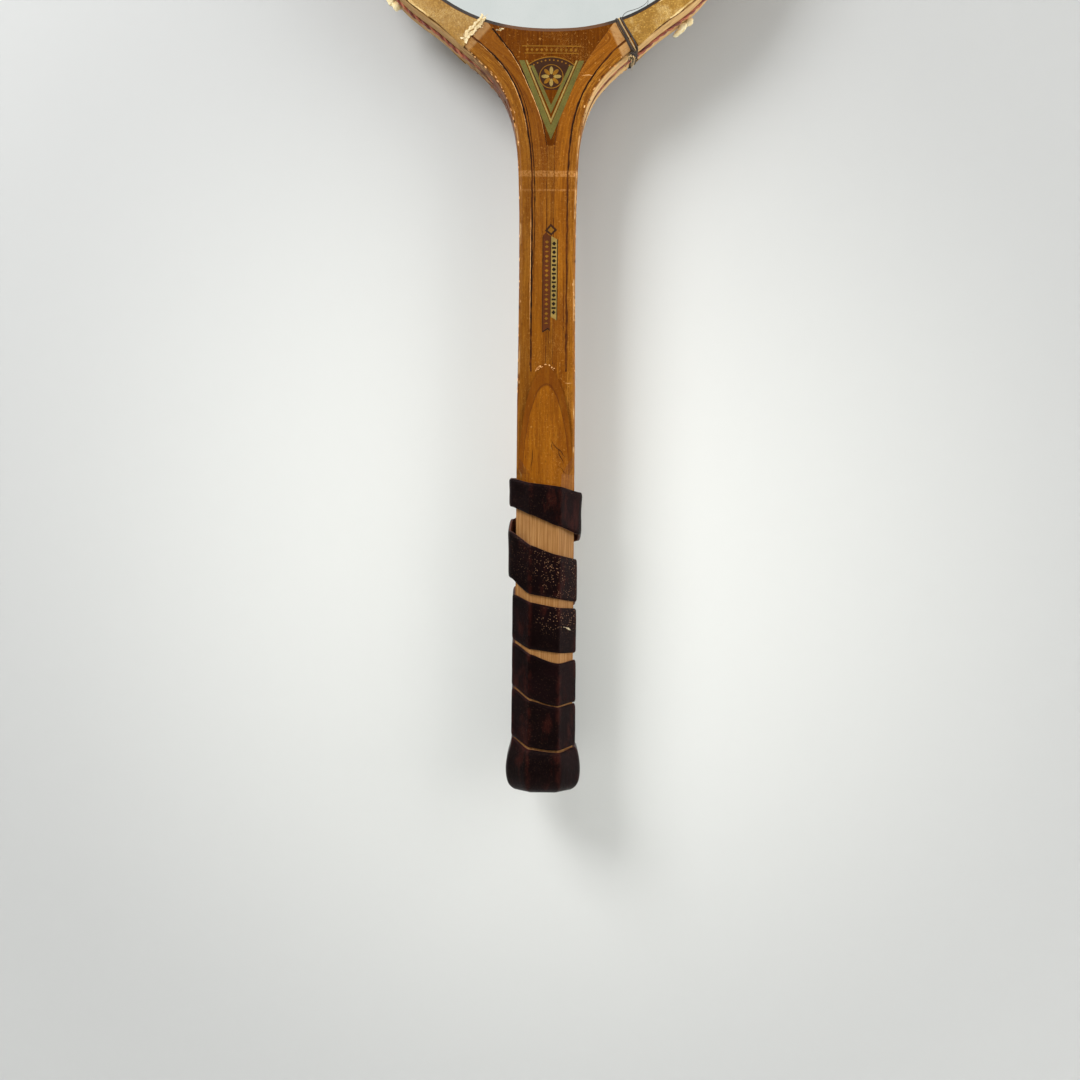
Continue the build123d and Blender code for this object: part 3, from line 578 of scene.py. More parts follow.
class Build:
    """Collects several closed shapes into one mesh."""

    def __init__(self):
        self.v, self.f, self.m = [], [], []

    def tube(self, pts, radius, mat=0, sides=8, closed=False, cap=True):
        """Tube along points in working mm. radius is a number or a function of the fraction along."""
        pts = [Vector(p) for p in pts]
        n = len(pts)
        base = len(self.v)
        up = None
        for i, p in enumerate(pts):
            if closed:
                t = pts[(i + 1) % n] - pts[(i - 1) % n]
            else:
                t = pts[min(i + 1, n - 1)] - pts[max(i - 1, 0)]
            t.normalize()
            if up is None:
                up = t.orthogonal().normalized()
            up = (up - t * up.dot(t)).normalized()
            side = t.cross(up)
            r = radius(i / max(n - 1, 1)) if callable(radius) else radius
            for k in range(sides):
                a = 2 * math.pi * k / sides
                q = p + (up * math.cos(a) + side * math.sin(a)) * r
                self.v.append(P(*q))
        rings = n if closed else n - 1
        for i in range(rings):
            for k in range(sides):
                a, b = base + i * sides + k, base + i * sides + (k + 1) % sides
                j = (i + 1) % n
                c, d = base + j * sides + (k + 1) % sides, base + j * sides + k
                self.f.append((a, b, c, d))
                self.m.append(mat)
        if not closed and cap:
            self.f.append(tuple(base + k for k in reversed(range(sides))))
            self.f.append(tuple(base + (n - 1) * sides + k for k in range(sides)))
            self.m += [mat, mat]

    def slab(self, poly, y0, y1, mat=0):
        """Flat closed plate from a polygon of (x, z) in working mm, between two depths."""
        base = len(self.v)
        n = len(poly)
        for y in (y0, y1):
            for x, z in poly:
                self.v.append(P(x, y, z))
        self.f.append(tuple(base + i for i in range(n)))
        self.f.append(tuple(base + n + i for i in reversed(range(n))))
        self.m += [mat, mat]
        for i in range(n):
            j = (i + 1) % n
            self.f.append((base + i, base + n + i, base + n + j, base + j))
            self.m.append(mat)

    def ribbon(self, line, width, y0, y1, mat=0, seed=0.0, ragged=0.25, freq=0.35):
        """Thin band of uneven width along a line of (x, z), closed all round."""
        pts = [Vector((a[0], a[1])) for a in line]
        n = len(pts)
        base = len(self.v)
        for i, p in enumerate(pts):
            t = (pts[min(i + 1, n - 1)] - pts[max(i - 1, 0)]).normalized()
            nr = Vector((-t.y, t.x))
            w = width(i / (n - 1)) if callable(width) else width
            a = w * (0.5 + ragged * noise.noise(Vector((p.x * freq, p.y * freq, seed))))
            b = w * (0.5 + ragged * noise.noise(Vector((p.x * freq, p.y * freq, seed + 31.7))))
            l, r = p + nr * a, p - nr * b
            self.v += [P(l.x, y0, l.y), P(r.x, y0, r.y), P(r.x, y1, r.y), P(l.x, y1, l.y)]
        for i in range(n - 1):
            a, b = base + 4 * i, base + 4 * (i + 1)
            for k in range(4):
                kk = (k + 1) % 4
                self.f.append((a + k, a + kk, b + kk, b + k))
                self.m.append(mat)
        self.f.append((base, base + 3, base + 2, base + 1))
        e = base + 4 * (n - 1)
        self.f.append((e, e + 1, e + 2, e + 3))
        self.m += [mat, mat]

    def done(self, name, mats, smooth=True):
        return make(name, self.v, self.f, mats, smooth, self.m)


BODY = list(frame["bodies"])[0] if not isinstance(frame["bodies"], dict) else list(frame["bodies"].keys())[0]


# ------------------------------------------------------------------ joints between the plies, on the front and the back
def leg_line(pts):
    return [(p.x, p.y) for p in even(catmull([Vector((x, z)) for x, z in pts], 10), 1.2)]


B_R = [(10.0, 166), (10.0, 200.0), (10.0, 250.0), (10.0, 295.0), (10.4, 322.0), (12.4, 342.0), (17.2, 357.6), (24.7, 370.0), (35.4, 382.2), (44.0, 389.2)]
B_L = [(-8.1, 166), (-8.1, 200.0), (-8.1, 250.0), (-8.1, 300.0), (-9.2, 330.0), (-14.3, 354.5), (-22.6, 370.6), (-34.4, 382.6), (-43.5, 389.4)]
C_L = [(-0.8, 331.0), (-3.5, 344.6), (-10.0, 361.0), (-17.5, 375.8), (-29.9, 391.7)]
C_R = [(3.1, 331.0), (5.6, 345.0), (12.0, 361.8), (19.9, 375.8), (30.6, 391.0)]
lines = Build()
for s in (-1, 1):
    y0, y1 = s * (HD - 0.05), s * (HD + 0.03)
    low = 214 if s < 0 else 150
    lines.ribbon([p for p in leg_line(B_L) if p[1] > low], 0.85, y0, y1, 1, 1.0 + s, 0.5, 0.22)
    lines.ribbon([p for p in leg_line(B_R) if p[1] > low], 0.95, y0, y1, 1, 3.0 + s, 0.5, 0.2)
    lines.ribbon(leg_line(C_L), lambda u: 0.28 + 0.4 * u, y0, y1, 0, 5.0 + s, 0.5, 0.3)
    lines.ribbon(leg_line(C_R), 0.22, y0, y1, 1, 7.0 + s, 0.5, 0.3)
    lines.ribbon(leg_line([(-0.5, 219), (-0.5, 250), (-0.55, 290), (-0.7, 331)]), 0.3, y0, y1, 1, 9.0 + s, 0.7, 0.3)
    lines.ribbon(leg_line([(3.1, 219), (3.1, 250), (3.1, 290), (3.1, 331)]), 0.26, y0, y1, 1, 11.0 + s, 0.7, 0.3)
# the left joint has opened: black cracks beside it, with pale lines along them that are painted highlight on the crack
# edges
def taper(w):
    return lambda u: w * math.sin(math.pi * min(max(u, 0.02), 0.98)) ** 0.5
F0, F1 = -HD + 0.05, -HD - 0.04
lines.ribbon([(x + 0.05, z) for x, z in leg_line(B_L) if 222 < z < 312], taper(0.75), F0, F1, 0, 13.0, 0.5, 0.35)
lines.ribbon([(x - 0.1, z) for x, z in leg_line(B_L) if 314 < z < 385], taper(0.72), F0, F1, 0, 13.5, 0.5, 0.4)
lines.ribbon([(x + 1.3 + 0.2 * math.sin(z * 0.11), z) for x, z in leg_line(B_L) if 262 < z < 372], taper(0.42), F0, F1, 0, 14.0, 0.6, 0.4)
# painted highlight: pale line along the edge of the open crack
lines.ribbon([(x - 0.62, z) for x, z in leg_line(B_L) if 236 < z < 300], taper(0.26), F0, F1 + 0.01, 2, 15.0, 0.6, 0.5)
lines.ribbon([(x + 0.1, z) for x, z in leg_line(B_R) if 318 < z < 380], taper(0.62), F0, F1, 0, 16.0, 0.6, 0.4)
lines.ribbon([(x - 1.5, z) for x, z in leg_line(B_R) if 228 < z < 270], taper(0.3), F0, F1, 1, 17.0, 0.6, 0.4)
lines.ribbon([(0.9 + 0.15 * math.sin(z * 0.2), z) for z in [222 + i * 1.2 for i in range(14)]], taper(0.24), F0, F1, 1, 18.0, 0.6, 0.4)
# painted highlight: pale lines along the crack edges higher up the left leg and beside the inner joint
lines.ribbon([(x - 0.62, z) for x, z in leg_line(B_L) if 338 < z < 387], taper(0.34), F0, F1 + 0.01, 2, 19.0, 0.6, 0.5)
lines.ribbon([(x - 0.42, z) for x, z in leg_line(C_L) if 336 < z < 390], taper(0.26), F0, F1 + 0.01, 2, 20.0, 0.6, 0.5)
lines.ribbon([(16.8, 366.9), (18.6, 367.2), (20.6, 367.3), (22.6, 367.0)], taper(0.36), F0, F1, 2, 21.0, 0.5, 0.9)
lines.ribbon([(9.6, 209.5), (11.2, 209.3), (13.4, 209.5)], taper(0.3), F0, F1, 2, 22.0, 0.5, 0.9)
joint_lines = lines.done("ply_joint_lines", [M["line_dark"], M["line_brown"], M["line_light"]], False)
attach(joint_lines, BODY)

# ------------------------------------------------------------------ twisted string left in the outer groove
route = [(24.2, 361.4), (30.3, 369.3), (37.4, 376.1), (46.0, 381.9)] + head_points(MW + 0.05, 50.0)
right = [Vector((x, 0, z)) for x, z in route]
full = right + [Vector((0, 0, HEAD_Z + OPEN_B + MW + 0.1))] + [Vector((-p.x, 0, p.z)) for p in reversed(right)]
path = even(catmull(full, 10), 0.8)
b = Build()
for strand in (0, 1):
    pts = []
    for i, p in enumerate(path):
        t = (path[min(i + 1, len(path) - 1)] - path[max(i - 1, 0)]).normalized()
        nrm = Vector((t.z, 0, -t.x))
        a = 2 * math.pi * i * 0.8 / 9.5 + strand * math.pi
        w = noise.noise(Vector((i * 0.03, strand * 5.0, 1.0)))
        end = min(1.0, i / 26, (len(path) - 1 - i) / 26)
        rad = (0.62 + 0.12 * w) * (0.4 + 0.6 * end)
        pts.append(p + nrm * (rad * math.cos(a) * 0.85) + Vector((0, 1, 0)) * (rad * math.sin(a)))
    b.tube(pts, lambda u: 0.68, strand, 7)
string = b.done("groove_string_twisted", [M["red_string"], M["red_string2"]])
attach(string, BODY)
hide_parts("groove_string")

# ------------------------------------------------------------------ whipping on the right shoulder
T1 = ((34.4, 396.0), (43.0, 379.8))
T2 = ((36.6, 396.6), (45.0, 381.6))


def turn_loop(a, b, r, bow=0.0, seed=0.0):
    """Closed loop of thread round the frame member, from inner point a to outer point b of the front face."""
    (xa, za), (xb, zb) = a, b
    u = Vector((xb - xa, zb - za)).normalized()
    out = []
    def pt(k, y):
        x, z = xa + (xb - xa) * k, za + (zb - za) * k
        x += noise.noise(Vector((k * 2.1, y * 0.2, seed))) * 0.35
        return x, z
    steps = 10
    L = (Vector(b) - Vector(a)).length
    for i in range(steps + 1):
        k = i / steps
        x, z = pt(k, -1)
        lift = r * 0.9 + (0.0 if 0.1 < k < 0.9 else -0.35 * (1 - min(k, 1 - k) / 0.1))
        out.append((x - u.y * bow * math.sin(math.pi * k), -HD - lift - 0.05, z + u.x * bow * math.sin(math.pi * k)))
    for i in range(1, 8):
        k = i / 8
        out.append((xb + u.x * r, -HD + 2 * HD * k, zb + u.y * r))
    for i in range(steps + 1):
        k = 1 - i / steps
        x, z = pt(k, 1)
        out.append((x, HD + r * 0.9, z))
    for i in range(1, 8):
        k = 1 - i / 8
        out.append((xa - u.x * r, -HD + 2 * HD * k, za - u.y * r))
    return [Vector(p) for p in out]


w = Build()
for (a, c), r, mat, seed in ((T1, 0.52, 0, 1.0), (T2, 0.5, 0, 4.0), (((35.5, 396.4), (44.0, 380.7)), 0.34, 1, 7.0), (((33.6, 395.7), (42.3, 379.2)), 0.22, 0, 9.0)):
    loop = turn_loop(a, c, r, 0.0, seed)
    w.tube(even(catmull(loop, 6, closed=True), 0.5), r, mat, 8, closed=True)
# loose end that springs from the top of the whipping and lies across the plate
hair = [(36.8, -9.9, 395.2), (37.3, -9.6, 396.9), (38.2, -8.6, 398.9), (40.0, -7.4, 400.8), (43.2, -6.2, 402.4), (47.2, -5.4, 404.4), (50.4, -5.2, 407.2), (51.4, -5.6, 410.8), (49.8, -6.2, 413.2)]
w.tube(even(catmull(hair, 8), 0.5), lambda u: 0.17 - 0.08 * u, 0, 6)
whip = w.done("shoulder_whipping_thread", [M["thread_dark"], M["thread_light"]])
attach(whip, BODY)
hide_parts("shoulder_whipping")

k = Build()
rnd = random.Random(3)
kc = Vector((43.2, -10.2, 377.6))
for i in range(9):
    ax = Vector((rnd.uniform(-1, 1), rnd.uniform(-1, 1), rnd.uniform(-1, 1))).normalized()
    e1 = ax.orthogonal().normalized()
    e2 = ax.cross(e1)
    c0 = kc + Vector((rnd.uniform(-1.3, 1.1), rnd.uniform(-0.3, 1.0), rnd.uniform(-1.8, 1.6)))
    ra, rb = rnd.uniform(0.9, 1.9), rnd.uniform(0.6, 1.2)
    pts = [c0 + e1 * (ra * math.cos(q)) + e2 * (rb * math.sin(q)) for q in [2 * math.pi * j / 16 for j in range(16)]]
    k.tube(pts, rnd.uniform(0.26, 0.42), 0 if i % 4 else 1, 6, closed=True)
for i in range(8):
    s0 = kc + Vector((rnd.uniform(-1.8, 1.0), rnd.uniform(-0.2, 0.8), -0.8))
    L = rnd.uniform(3.0, 7.6)
    d = Vector((rnd.uniform(-0.55, 0.18), rnd.uniform(-0.15, 0.2), -1)).normalized()
    bend = Vector((rnd.uniform(-0.4, 0.4), 0, rnd.uniform(-0.1, 0.1)))
    pts = [s0 + d * (L * q) + bend * (L * q * q * 0.6) for q in [j / 8 for j in range(9)]]
    k.tube(pts, lambda u, r=rnd.uniform(0.12, 0.24): r * (1.0 - 0.45 * u), 0 if i % 3 else 1, 5)
knot = k.done("whipping_knot_frayed", [M["thread_dark"], M["thread_light"]])
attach(knot, BODY)
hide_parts("whipping_knot")

# ------------------------------------------------------------------ torn vellum: ragged end on the left shoulder, tabs past the edge
t = Build()
for i, (off, wd, dep, seed) in enumerate(((0.0, 2.7, 0.7, 2.0), (1.0, 1.3, 1.0, 12.0), (-0.9, 1.5, 0.85, 22.0))):
    line = []
    for j in range(40):
        q = j / 39
        x = -33.4 + (-44.2 + 33.4) * q - off * 0.75
        z = 396.9 + (384.0 - 396.9) * q + off * 0.66
        line.append((x + 0.5 * math.sin(q * 17 + seed), z + 0.4 * math.cos(q * 13 + seed)))
    t.ribbon(line, lambda u, wd=wd: wd * (0.75 + 0.25 * math.sin(u * 3.1)), -HD + 0.1, -HD - dep * 0.62, 0, seed, 0.75, 0.9)
for j in range(26):
    q = rnd.random()
    x, z = -33.6 - 10.6 * q + rnd.uniform(-0.9, 0.9), 396.6 - 12.6 * q + rnd.uniform(-0.9, 0.9)
    a = rnd.uniform(0, 6.28)
    L = rnd.uniform(1.2, 3.4)
    t.tube([(x, -HD - 0.6, z), (x + L * 0.5 * math.cos(a), -HD - rnd.uniform(0.6, 1.1), z + L * 0.5 * math.sin(a)), (x + L * math.cos(a), -HD - 0.5, z + L * math.sin(a))], 0.1, 0, 5)
# frayed pale borders of the vellum, front and back, inside and outside
for face in (-1, 1):
    for sgn in (-1, 1):
        for off, wd, sd in ((2.15, 0.5, 3.0), (12.1, 0.95, 5.0)):
            line = []
            for i in range(110):
                a = math.radians(-61 + (61 + 89.5) * i / 109)
                x, z = opening_point(a, off)
                line.append((x * sgn, z))
            t.ribbon(line, lambda u, wd=wd: wd * (0.55 + 0.45 * (1 - u)), face * (HD + 0.4), face * (HD + 0.56), 1, sd + sgn + face, 0.95, 0.8)
# scuff on the top left corner of the wedge
for i in range(5):
    cx, cz = -25.4 + rnd.uniform(-1.6, 1.6), 390.4 + rnd.uniform(-0.5, 0.5)
    L, W = rnd.uniform(0.5, 1.3), rnd.uniform(0.18, 0.4)
    t.slab([(cx + L * math.cos(math.tau * j / 7), cz + W * math.sin(math.tau * j / 7)) for j in range(7)], -HD + 0.05, -HD - 0.03, 0)
torn = t.done("vellum_torn_end", [M["raw_flake"], M["fringe"]], False)
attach(torn, BODY)


def lump(build, centre, axes, size, seed, mat=0, nu=14, nv=10):
    """Closed crumpled lump of torn sheet."""
    base = len(build.v)
    e1, e2, e3 = axes
    for i in range(nv + 1):
        th = math.pi * i / nv
        for j in range(nu):
            ph = 2 * math.pi * j / nu
            d = Vector((math.sin(th) * math.cos(ph), math.sin(th) * math.sin(ph), math.cos(th)))
            r = 1.0 + 0.34 * noise.noise(d * 1.7 + Vector((seed, 0, 0))) + 0.14 * noise.noise(d * 4.5 + Vector((0, seed, 0)))
            q = centre + e1 * (d.x * size[0] * r) + e2 * (d.y * size[1] * r) + e3 * (d.z * size[2] * r)
            build.v.append(P(*q))
    for i in range(nv):
        for j in range(nu):
            a, b2 = base + i * nu + j, base + i * nu + (j + 1) % nu
            c, d2 = base + (i + 1) * nu + (j + 1) % nu, base + (i + 1) * nu + j
            build.f.append((a, b2, c, d2))
            build.m.append(mat)


tb = Build()
for (x, z, ang, items) in ((71.0, 399.4, 41.0, ((-4.2, 0.2, 3.4, 1.6, 1.5), (-0.6, -0.5, 3.0, 1.8, 1.9), (3.4, -0.2, 2.8, 1.6, 1.6))), (-81.6, 409.8, -48.0, ((-2.6, 0.0, 2.6, 1.6, 1.9), (1.2, -0.3, 2.9, 1.7, 2.0)))):
    ca, sa = math.cos(math.radians(ang)), math.sin(math.radians(ang))
    e1, e3 = Vector((ca, 0, sa)), Vector((sa, 0, -ca)) * (1 if ang > 0 else -1)
    if ang < 0:
        e3 = Vector((sa, 0, -ca))
    for i, (s, d, a, bb, cc) in enumerate(items):
        lump(tb, Vector((x, 5.4, z)) + e1 * s + e3 * d, (e1, Vector((0, 1, 0)), e3), (a, bb, cc), 3.1 * i + ang)
tabs = tb.done("vellum_torn_tabs", [M["tab"]])
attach(tabs, BODY)
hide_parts("vellum_tabs")

# ------------------------------------------------------------------ leather strip wound down the handle
FLARE = [(0.0, -3.4), (0.9, -1.9), (2.2, 0.0), (4.0, 1.2), (6.5, 1.9), (11.0, 2.3), (16.0, 2.0), (24.0, 0.0), (400.0, 0.0)]


def flare(z):
    for (z0, f0), (z1, f1) in zip(FLARE, FLARE[1:]):
        if z <= z1:
            return f0 + (f1 - f0) * (z - z0) / (z1 - z0)
    return 0.0


def flare_soft(z):
    return sum(flare(z + d) for d in (-1.6, -0.8, 0.0, 0.8, 1.6)) / 5


STATIONS = [
    (5, 161.0, 152.5, 1.2), (6, 161.6, 149.5, 1.7), (7, 160.5, 146.0, 2.0), (0, 158.1, 141.7, 1.0), (1, 156.0, 135.9, 0.9), (2, 153.5, 132.0, 2.2),
    (3, 151.5, 128.5, 2.2), (4, 148.0, 125.0, 1.2), (5, 144.0, 121.5, 1.0), (6, 140.0, 117.0, 1.6), (7, 133.5, 109.5, 2.2), (0, 126.5, 101.6, 0.4),
    (1, 121.4, 98.8, 0.2), (2, 119.5, 97.6, 0.25), (3, 117.5, 95.0, 0.1), (4, 113.0, 90.0, 0.0), (5, 108.5, 85.5, 0.0), (6, 104.5, 81.5, 0.0),
    (7, 101.0, 77.7, 0.0), (0, 97.5, 73.6, 0.0), (1, 94.7, 71.6, 0.0), (2, 94.0, 71.3, 0.0), (3, 92.0, 69.5, 0.0), (4, 88.0, 66.0, 0.0),
    (5, 84.0, 61.0, 0.0), (6, 79.5, 57.0, 0.0), (7, 76.4, 53.8, 0.0), (0, 71.3, 48.7, 0.0), (1, 66.5, 44.7, 0.0), (2, 67.5, 45.9, 0.0),
    (3, 66.0, 44.0, 0.0), (4, 63.0, 41.5, 0.0), (5, 59.0, 37.0, 0.0), (6, 55.5, 33.0, 0.0), (7, 52.8, 28.4, 0.0), (0, 47.7, 23.8, 0.0),
    (1, 44.2, 22.3, 0.0), (2, 45.2, 23.8, 0.0), (3, 43.0, 23.6, 0.0), (4, 40.0, 17.5, 0.0), (5, 36.0, 11.0, 0.0), (6, 32.0, 4.8, 0.0),
    (7, 27.4, 1.6, 0.0), (0, 23.1, 1.6, 0.0), (1, 21.1, 1.6, 0.0), (2, 23.1, 1.6, 0.0), (3, 23.0, 1.6, 0.0), (4, 16.9, 1.6, 0.0), (5, 10.4, 1.6, 0.0),
]
CORNERS = [(-FX, -HY), (FX, -HY), (HX, -FY), (HX, FY), (FX, HY), (-FX, HY), (-HX, FY), (-HX, -FY)]
NORMALS = []
for i in range(8):
    a, c = Vector(CORNERS[i]), Vector(CORNERS[(i + 1) % 8])
    d = (c - a).normalized()
    NORMALS.append(Vector((d.y, -d.x)))


def grip():
    n = len(STATIONS)
    dense = catmull([Vector((s[1], s[2], s[3])) for s in STATIONS], 20)
    def at(u):
        f = min(max(u, 0.0), n - 1.0) * 20
        i = min(int(f), len(dense) - 2)
        return dense[i].lerp(dense[i + 1], f - i)
    # samples along the strip: facets and the small arcs over the handle's corners
    samples = []
    for i in range(n):
        k = STATIONS[i][0]
        n_in, n_out = NORMALS[(k - 1) % 8], NORMALS[k % 8]
        arc = (0.0, 0.25, 0.5, 0.75, 1.0)
        for q in arc:
            if i == 0 and q < 1.0:
                continue
            nn = n_in.lerp(n_out, q).normalized()
            samples.append((i + (q - 0.5) * 0.06, Vector(CORNERS[k]), nn))
        if i < n - 1:
            a, c = Vector(CORNERS[k]), Vector(CORNERS[(k + 1) % 8])
            for q in (0.12, 0.26, 0.42, 0.58, 0.74, 0.88):
                samples.append((i + q, a.lerp(c, q), n_out))
    rows = [0.0, 0.02, 0.055, 0.11, 0.2, 0.3, 0.4, 0.5, 0.6, 0.7, 0.8, 0.89, 0.945, 0.98, 1.0]
    R = len(rows)
    verts = []
    for si, (u, c, nn) in enumerate(samples):
        top, bottom, slack = at(u)
        slack = max(slack, 0.0)
        wav = noise.noise(Vector((u * 0.9, 3.0, 0.0)))
        wav2 = noise.noise(Vector((u * 0.9, 9.0, 0.0)))
        free = 1.0 if bottom > 2.2 else 0.0
        bottom = bottom if bottom > 1.61 else 0.5
        top += 0.45 * wav
        bottom += 0.45 * wav2 * free
        for j, q in enumerate(rows):
            z = top + (bottom - top) * q
            z = min(z, top) if q < 0.5 else z
            edge = min(q, 1 - q) * (top - bottom)
            thick = 1.42 - 0.62 * max(0.0, 1 - edge / 1.5) ** 2
            fl = max(flare_soft(z), -3.0) + 0.5 * min(1.0, max(0.0, (25.0 - z) / 4))
            curl = 0.0
            if slack > 0.3:
                curl = 0.25 * min(slack, 2.0) * (1 - min(1.0, (q * 2.2)))
            und = 0.13 * noise.noise(Vector((c.x * 0.13 + u * 0.3, c.y * 0.13, z * 0.14))) + 0.06 * noise.noise(Vector((c.x * 0.5, c.y * 0.5, z * 0.55)))
            lo = 0.03 + slack + fl + max(curl, 0.0) * 0.5
            hi = lo + thick + und + max(curl, 0) * 0.3
            scale = 1.0
            pi_, po = c + nn * lo, c + nn * hi
            verts.append(P(pi_.x, pi_.y, z))
            verts.append(P(po.x, po.y, z))
    faces, fm = [], []
    S = len(samples)
    def vi(s, j, side):
        return (s * R + j) * 2 + side
    for s in range(S - 1):
        for j in range(R - 1):
            faces.append((vi(s, j, 1), vi(s, j + 1, 1), vi(s + 1, j + 1, 1), vi(s + 1, j, 1)))
            fm.append(0)
            faces.append((vi(s, j, 0), vi(s + 1, j, 0), vi(s + 1, j + 1, 0), vi(s, j + 1, 0)))
            fm.append(1)
        faces.append((vi(s, 0, 0), vi(s, 0, 1), vi(s + 1, 0, 1), vi(s + 1, 0, 0)))
        fm.append(1)
        faces.append((vi(s, R - 1, 0), vi(s + 1, R - 1, 0), vi(s + 1, R - 1, 1), vi(s, R - 1, 1)))
        fm.append(1)
    for s, flip in ((0, False), (S - 1, True)):
        for j in range(R - 1):
            f = (vi(s, j, 0), vi(s, j + 1, 0), vi(s, j + 1, 1), vi(s, j, 1))
            faces.append(tuple(reversed(f)) if flip else f)
            fm.append(1)
    return make("leather_grip_strip", verts, faces, [M["leather"], M["leather_edge"]], True, fm)


strip = grip()
sub = strip.modifiers.new("fine", "SUBSURF")
sub.levels = sub.render_levels = 1
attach(strip, BODY)
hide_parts("leather_grip")
sx = Build()
for pts in ([(10.9, -12.35, 84.7), (11.9, -11.5, 83.9), (12.9, -10.6, 83.3), (13.7, -9.85, 83.1)], [(11.9, -11.5, 84.6), (12.7, -10.8, 83.9), (13.3, -10.25, 83.8)], [(9.9, -13.2, 84.9), (10.5, -12.7, 84.5)]):
    sx.tube(even(catmull([Vector(q) for q in pts], 6), 0.3), lambda u: 0.2 - 0.1 * abs(2 * u - 1), 0, 6)
scr = sx.done("grip_scratch", [M["raw_flake"]])
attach(scr, BODY)

# ------------------------------------------------------------------ transfers: plain geometric ornament
for key, c in (("d_brown", (58, 30, 8)), ("d_gold", (140, 92, 14)), ("d_green", (104, 96, 42)), ("d_cream", (158, 130, 66)), ("d_black", (28, 20, 8)), ("d_red", (92, 44, 12))):
    a = tuple(max(0, int(v * 0.82)) for v in c)
    M[key] = simple("transfer_" + key[2:], lin(*a), lin(*c), 1400, 0.5, 0.25, 0.0001, Coat_Weight=0.06, Coat_Roughness=0.2, Specular_IOR_Level=0.12)
D = Build()
mats = ["d_brown", "d_gold", "d_green", "d_cream", "d_black", "d_red"]
ix = {m: i for i, m in enumerate(mats)}
y_f = -HD


def lay(poly, mat, level):
    D.slab(poly, y_f + 0.02, y_f - 0.04 - 0.025 * level, ix[mat])


def vee(x0, z0, half, depth, wd, mat, level, cx=1.2):
    """Chevron stripe that narrows to its point."""
    lay([(cx - half, z0), (cx - half + wd, z0), (cx, z0 - depth + wd * 2.0), (cx + half - wd, z0), (cx + half, z0), (cx, z0 - depth)], mat, level)


# nested chevrons down the wedge
D.slab([(-15.4, 374.6), (-12.6, 374.6), (1.2, 341.5), (15.2, 374.6), (18.0, 374.6), (1.2, 334.0)], y_f + 0.02, y_f - 0.06, ix["d_green"])
D.slab([(-12.0, 374.6), (-11.2, 374.6), (1.2, 344.6), (13.8, 374.6), (14.6, 374.6), (1.2, 342.4)], y_f + 0.02, y_f - 0.07, ix["d_cream"])
D.slab([(-9.6, 372.0), (-7.8, 372.0), (1.2, 351.8), (10.4, 372.0), (12.2, 372.0), (1.2, 347.4)], y_f + 0.02, y_f - 0.06, ix["d_green"])
# lozenge field with rows of small diamonds
for r_, (zc, cnt, sp, sz, mt) in enumerate(((380.0, 11, 2.5, 0.95, "d_gold"),)):
    for i in range(cnt):
        cx = 1.2 + (i - (cnt - 1) / 2) * sp
        lay([(cx - sz * 0.8, zc), (cx, zc + sz), (cx + sz * 0.8, zc), (cx, zc - sz)], mt, 2)
lay([(-13.8, 382.2), (16.2, 382.2), (16.2, 381.7), (-13.8, 381.7)], "d_gold", 1)
lay([(-12.6, 378.5), (15.0, 378.5), (15.0, 378.1), (-12.6, 378.1)], "d_gold", 1)
# brown lunette with an eight-petal rosette
A0 = (1.2, 357.4)
arc = [(A0[0] + 19.0 * math.cos(math.radians(t)), A0[1] + 19.0 * math.sin(math.radians(t))) for t in range(130, 49, -4)]
lay([(-4.6, 359.6), *arc, (7.0, 359.6)], "d_brown", 0)
D.ribbon(arc, 0.5, y_f - 0.02, y_f - 0.10, ix["d_gold"], 2.0, 0.1)
inner_arc = [(A0[0] + 17.4 * math.cos(math.radians(t)), A0[1] + 17.4 * math.sin(math.radians(t))) for t in range(128, 51, -7)]
for cx, cz in inner_arc:
    lay([(cx + 0.42 * math.cos(math.tau * i / 8), cz + 0.42 * math.sin(math.tau * i / 8)) for i in range(8)], "d_gold", 1)
C0 = (1.2, 366.4)
ring = [(C0[0] + 6.0 * math.cos(math.tau * i / 48), C0[1] + 6.0 * math.sin(math.tau * i / 48)) for i in range(48)]
D.ribbon(ring + ring[:1], 0.4, y_f - 0.02, y_f - 0.10, ix["d_gold"], 2.0, 0.1)
for i in range(8):
    a = math.tau * i / 8
    u, v = (math.cos(a), math.sin(a)), (-math.sin(a), math.cos(a))
    petal = []
    for j in range(12):
        q = math.tau * j / 12
        l, wd = 3.1 + 2.0 * math.cos(q), 0.95 * math.sin(q)
        petal.append((C0[0] + u[0] * l + v[0] * wd, C0[1] + u[1] * l + v[1] * wd))
    lay(petal, "d_gold" if i % 2 else "d_cream", 2)
throat_transfer = D.done("throat_transfer_ornament", [M[m] for m in mats], False)
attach(throat_transfer, BODY)
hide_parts("throat_decal")

D = Build()
# two staggered upright strips: the left red-brown, the right cream with dark lozenges, no lettering
lay([(-2.2, 235.8), (0.6, 237.4), (1.6, 236.2), (1.6, 284.5), (-1.0, 286.5), (-2.2, 285.0)], "d_red", 0)
lay([(1.9, 243.4), (4.9, 241.6), (4.9, 283.0), (1.9, 284.6)], "d_cream", 0)
lay([(4.9, 241.6), (5.3, 241.4), (5.3, 283.0), (4.9, 283.0)], "d_black", 1)
lay([(1.6, 243.0), (1.9, 243.0), (1.9, 284.6), (1.6, 284.6)], "d_black", 1)
lay([(-2.5, 236.2), (-2.2, 235.8), (-2.2, 285.0), (-2.5, 284.6)], "d_black", 1)
lay([(-2.4, 235.8), (0.6, 237.7), (1.6, 236.5), (1.6, 235.9), (0.6, 237.0), (-2.4, 235.2)], "d_black", 1)
z = 240.0
i = 0
while z < 283:
    h = 1.7 if i % 3 else 0.9
    lay([(-1.3, z), (-0.3, z + h * 0.5), (0.7, z), (-0.3, z - h * 0.5)], "d_gold", 1)
    z += 2.45
    i += 1
z = 245.6
i = 0
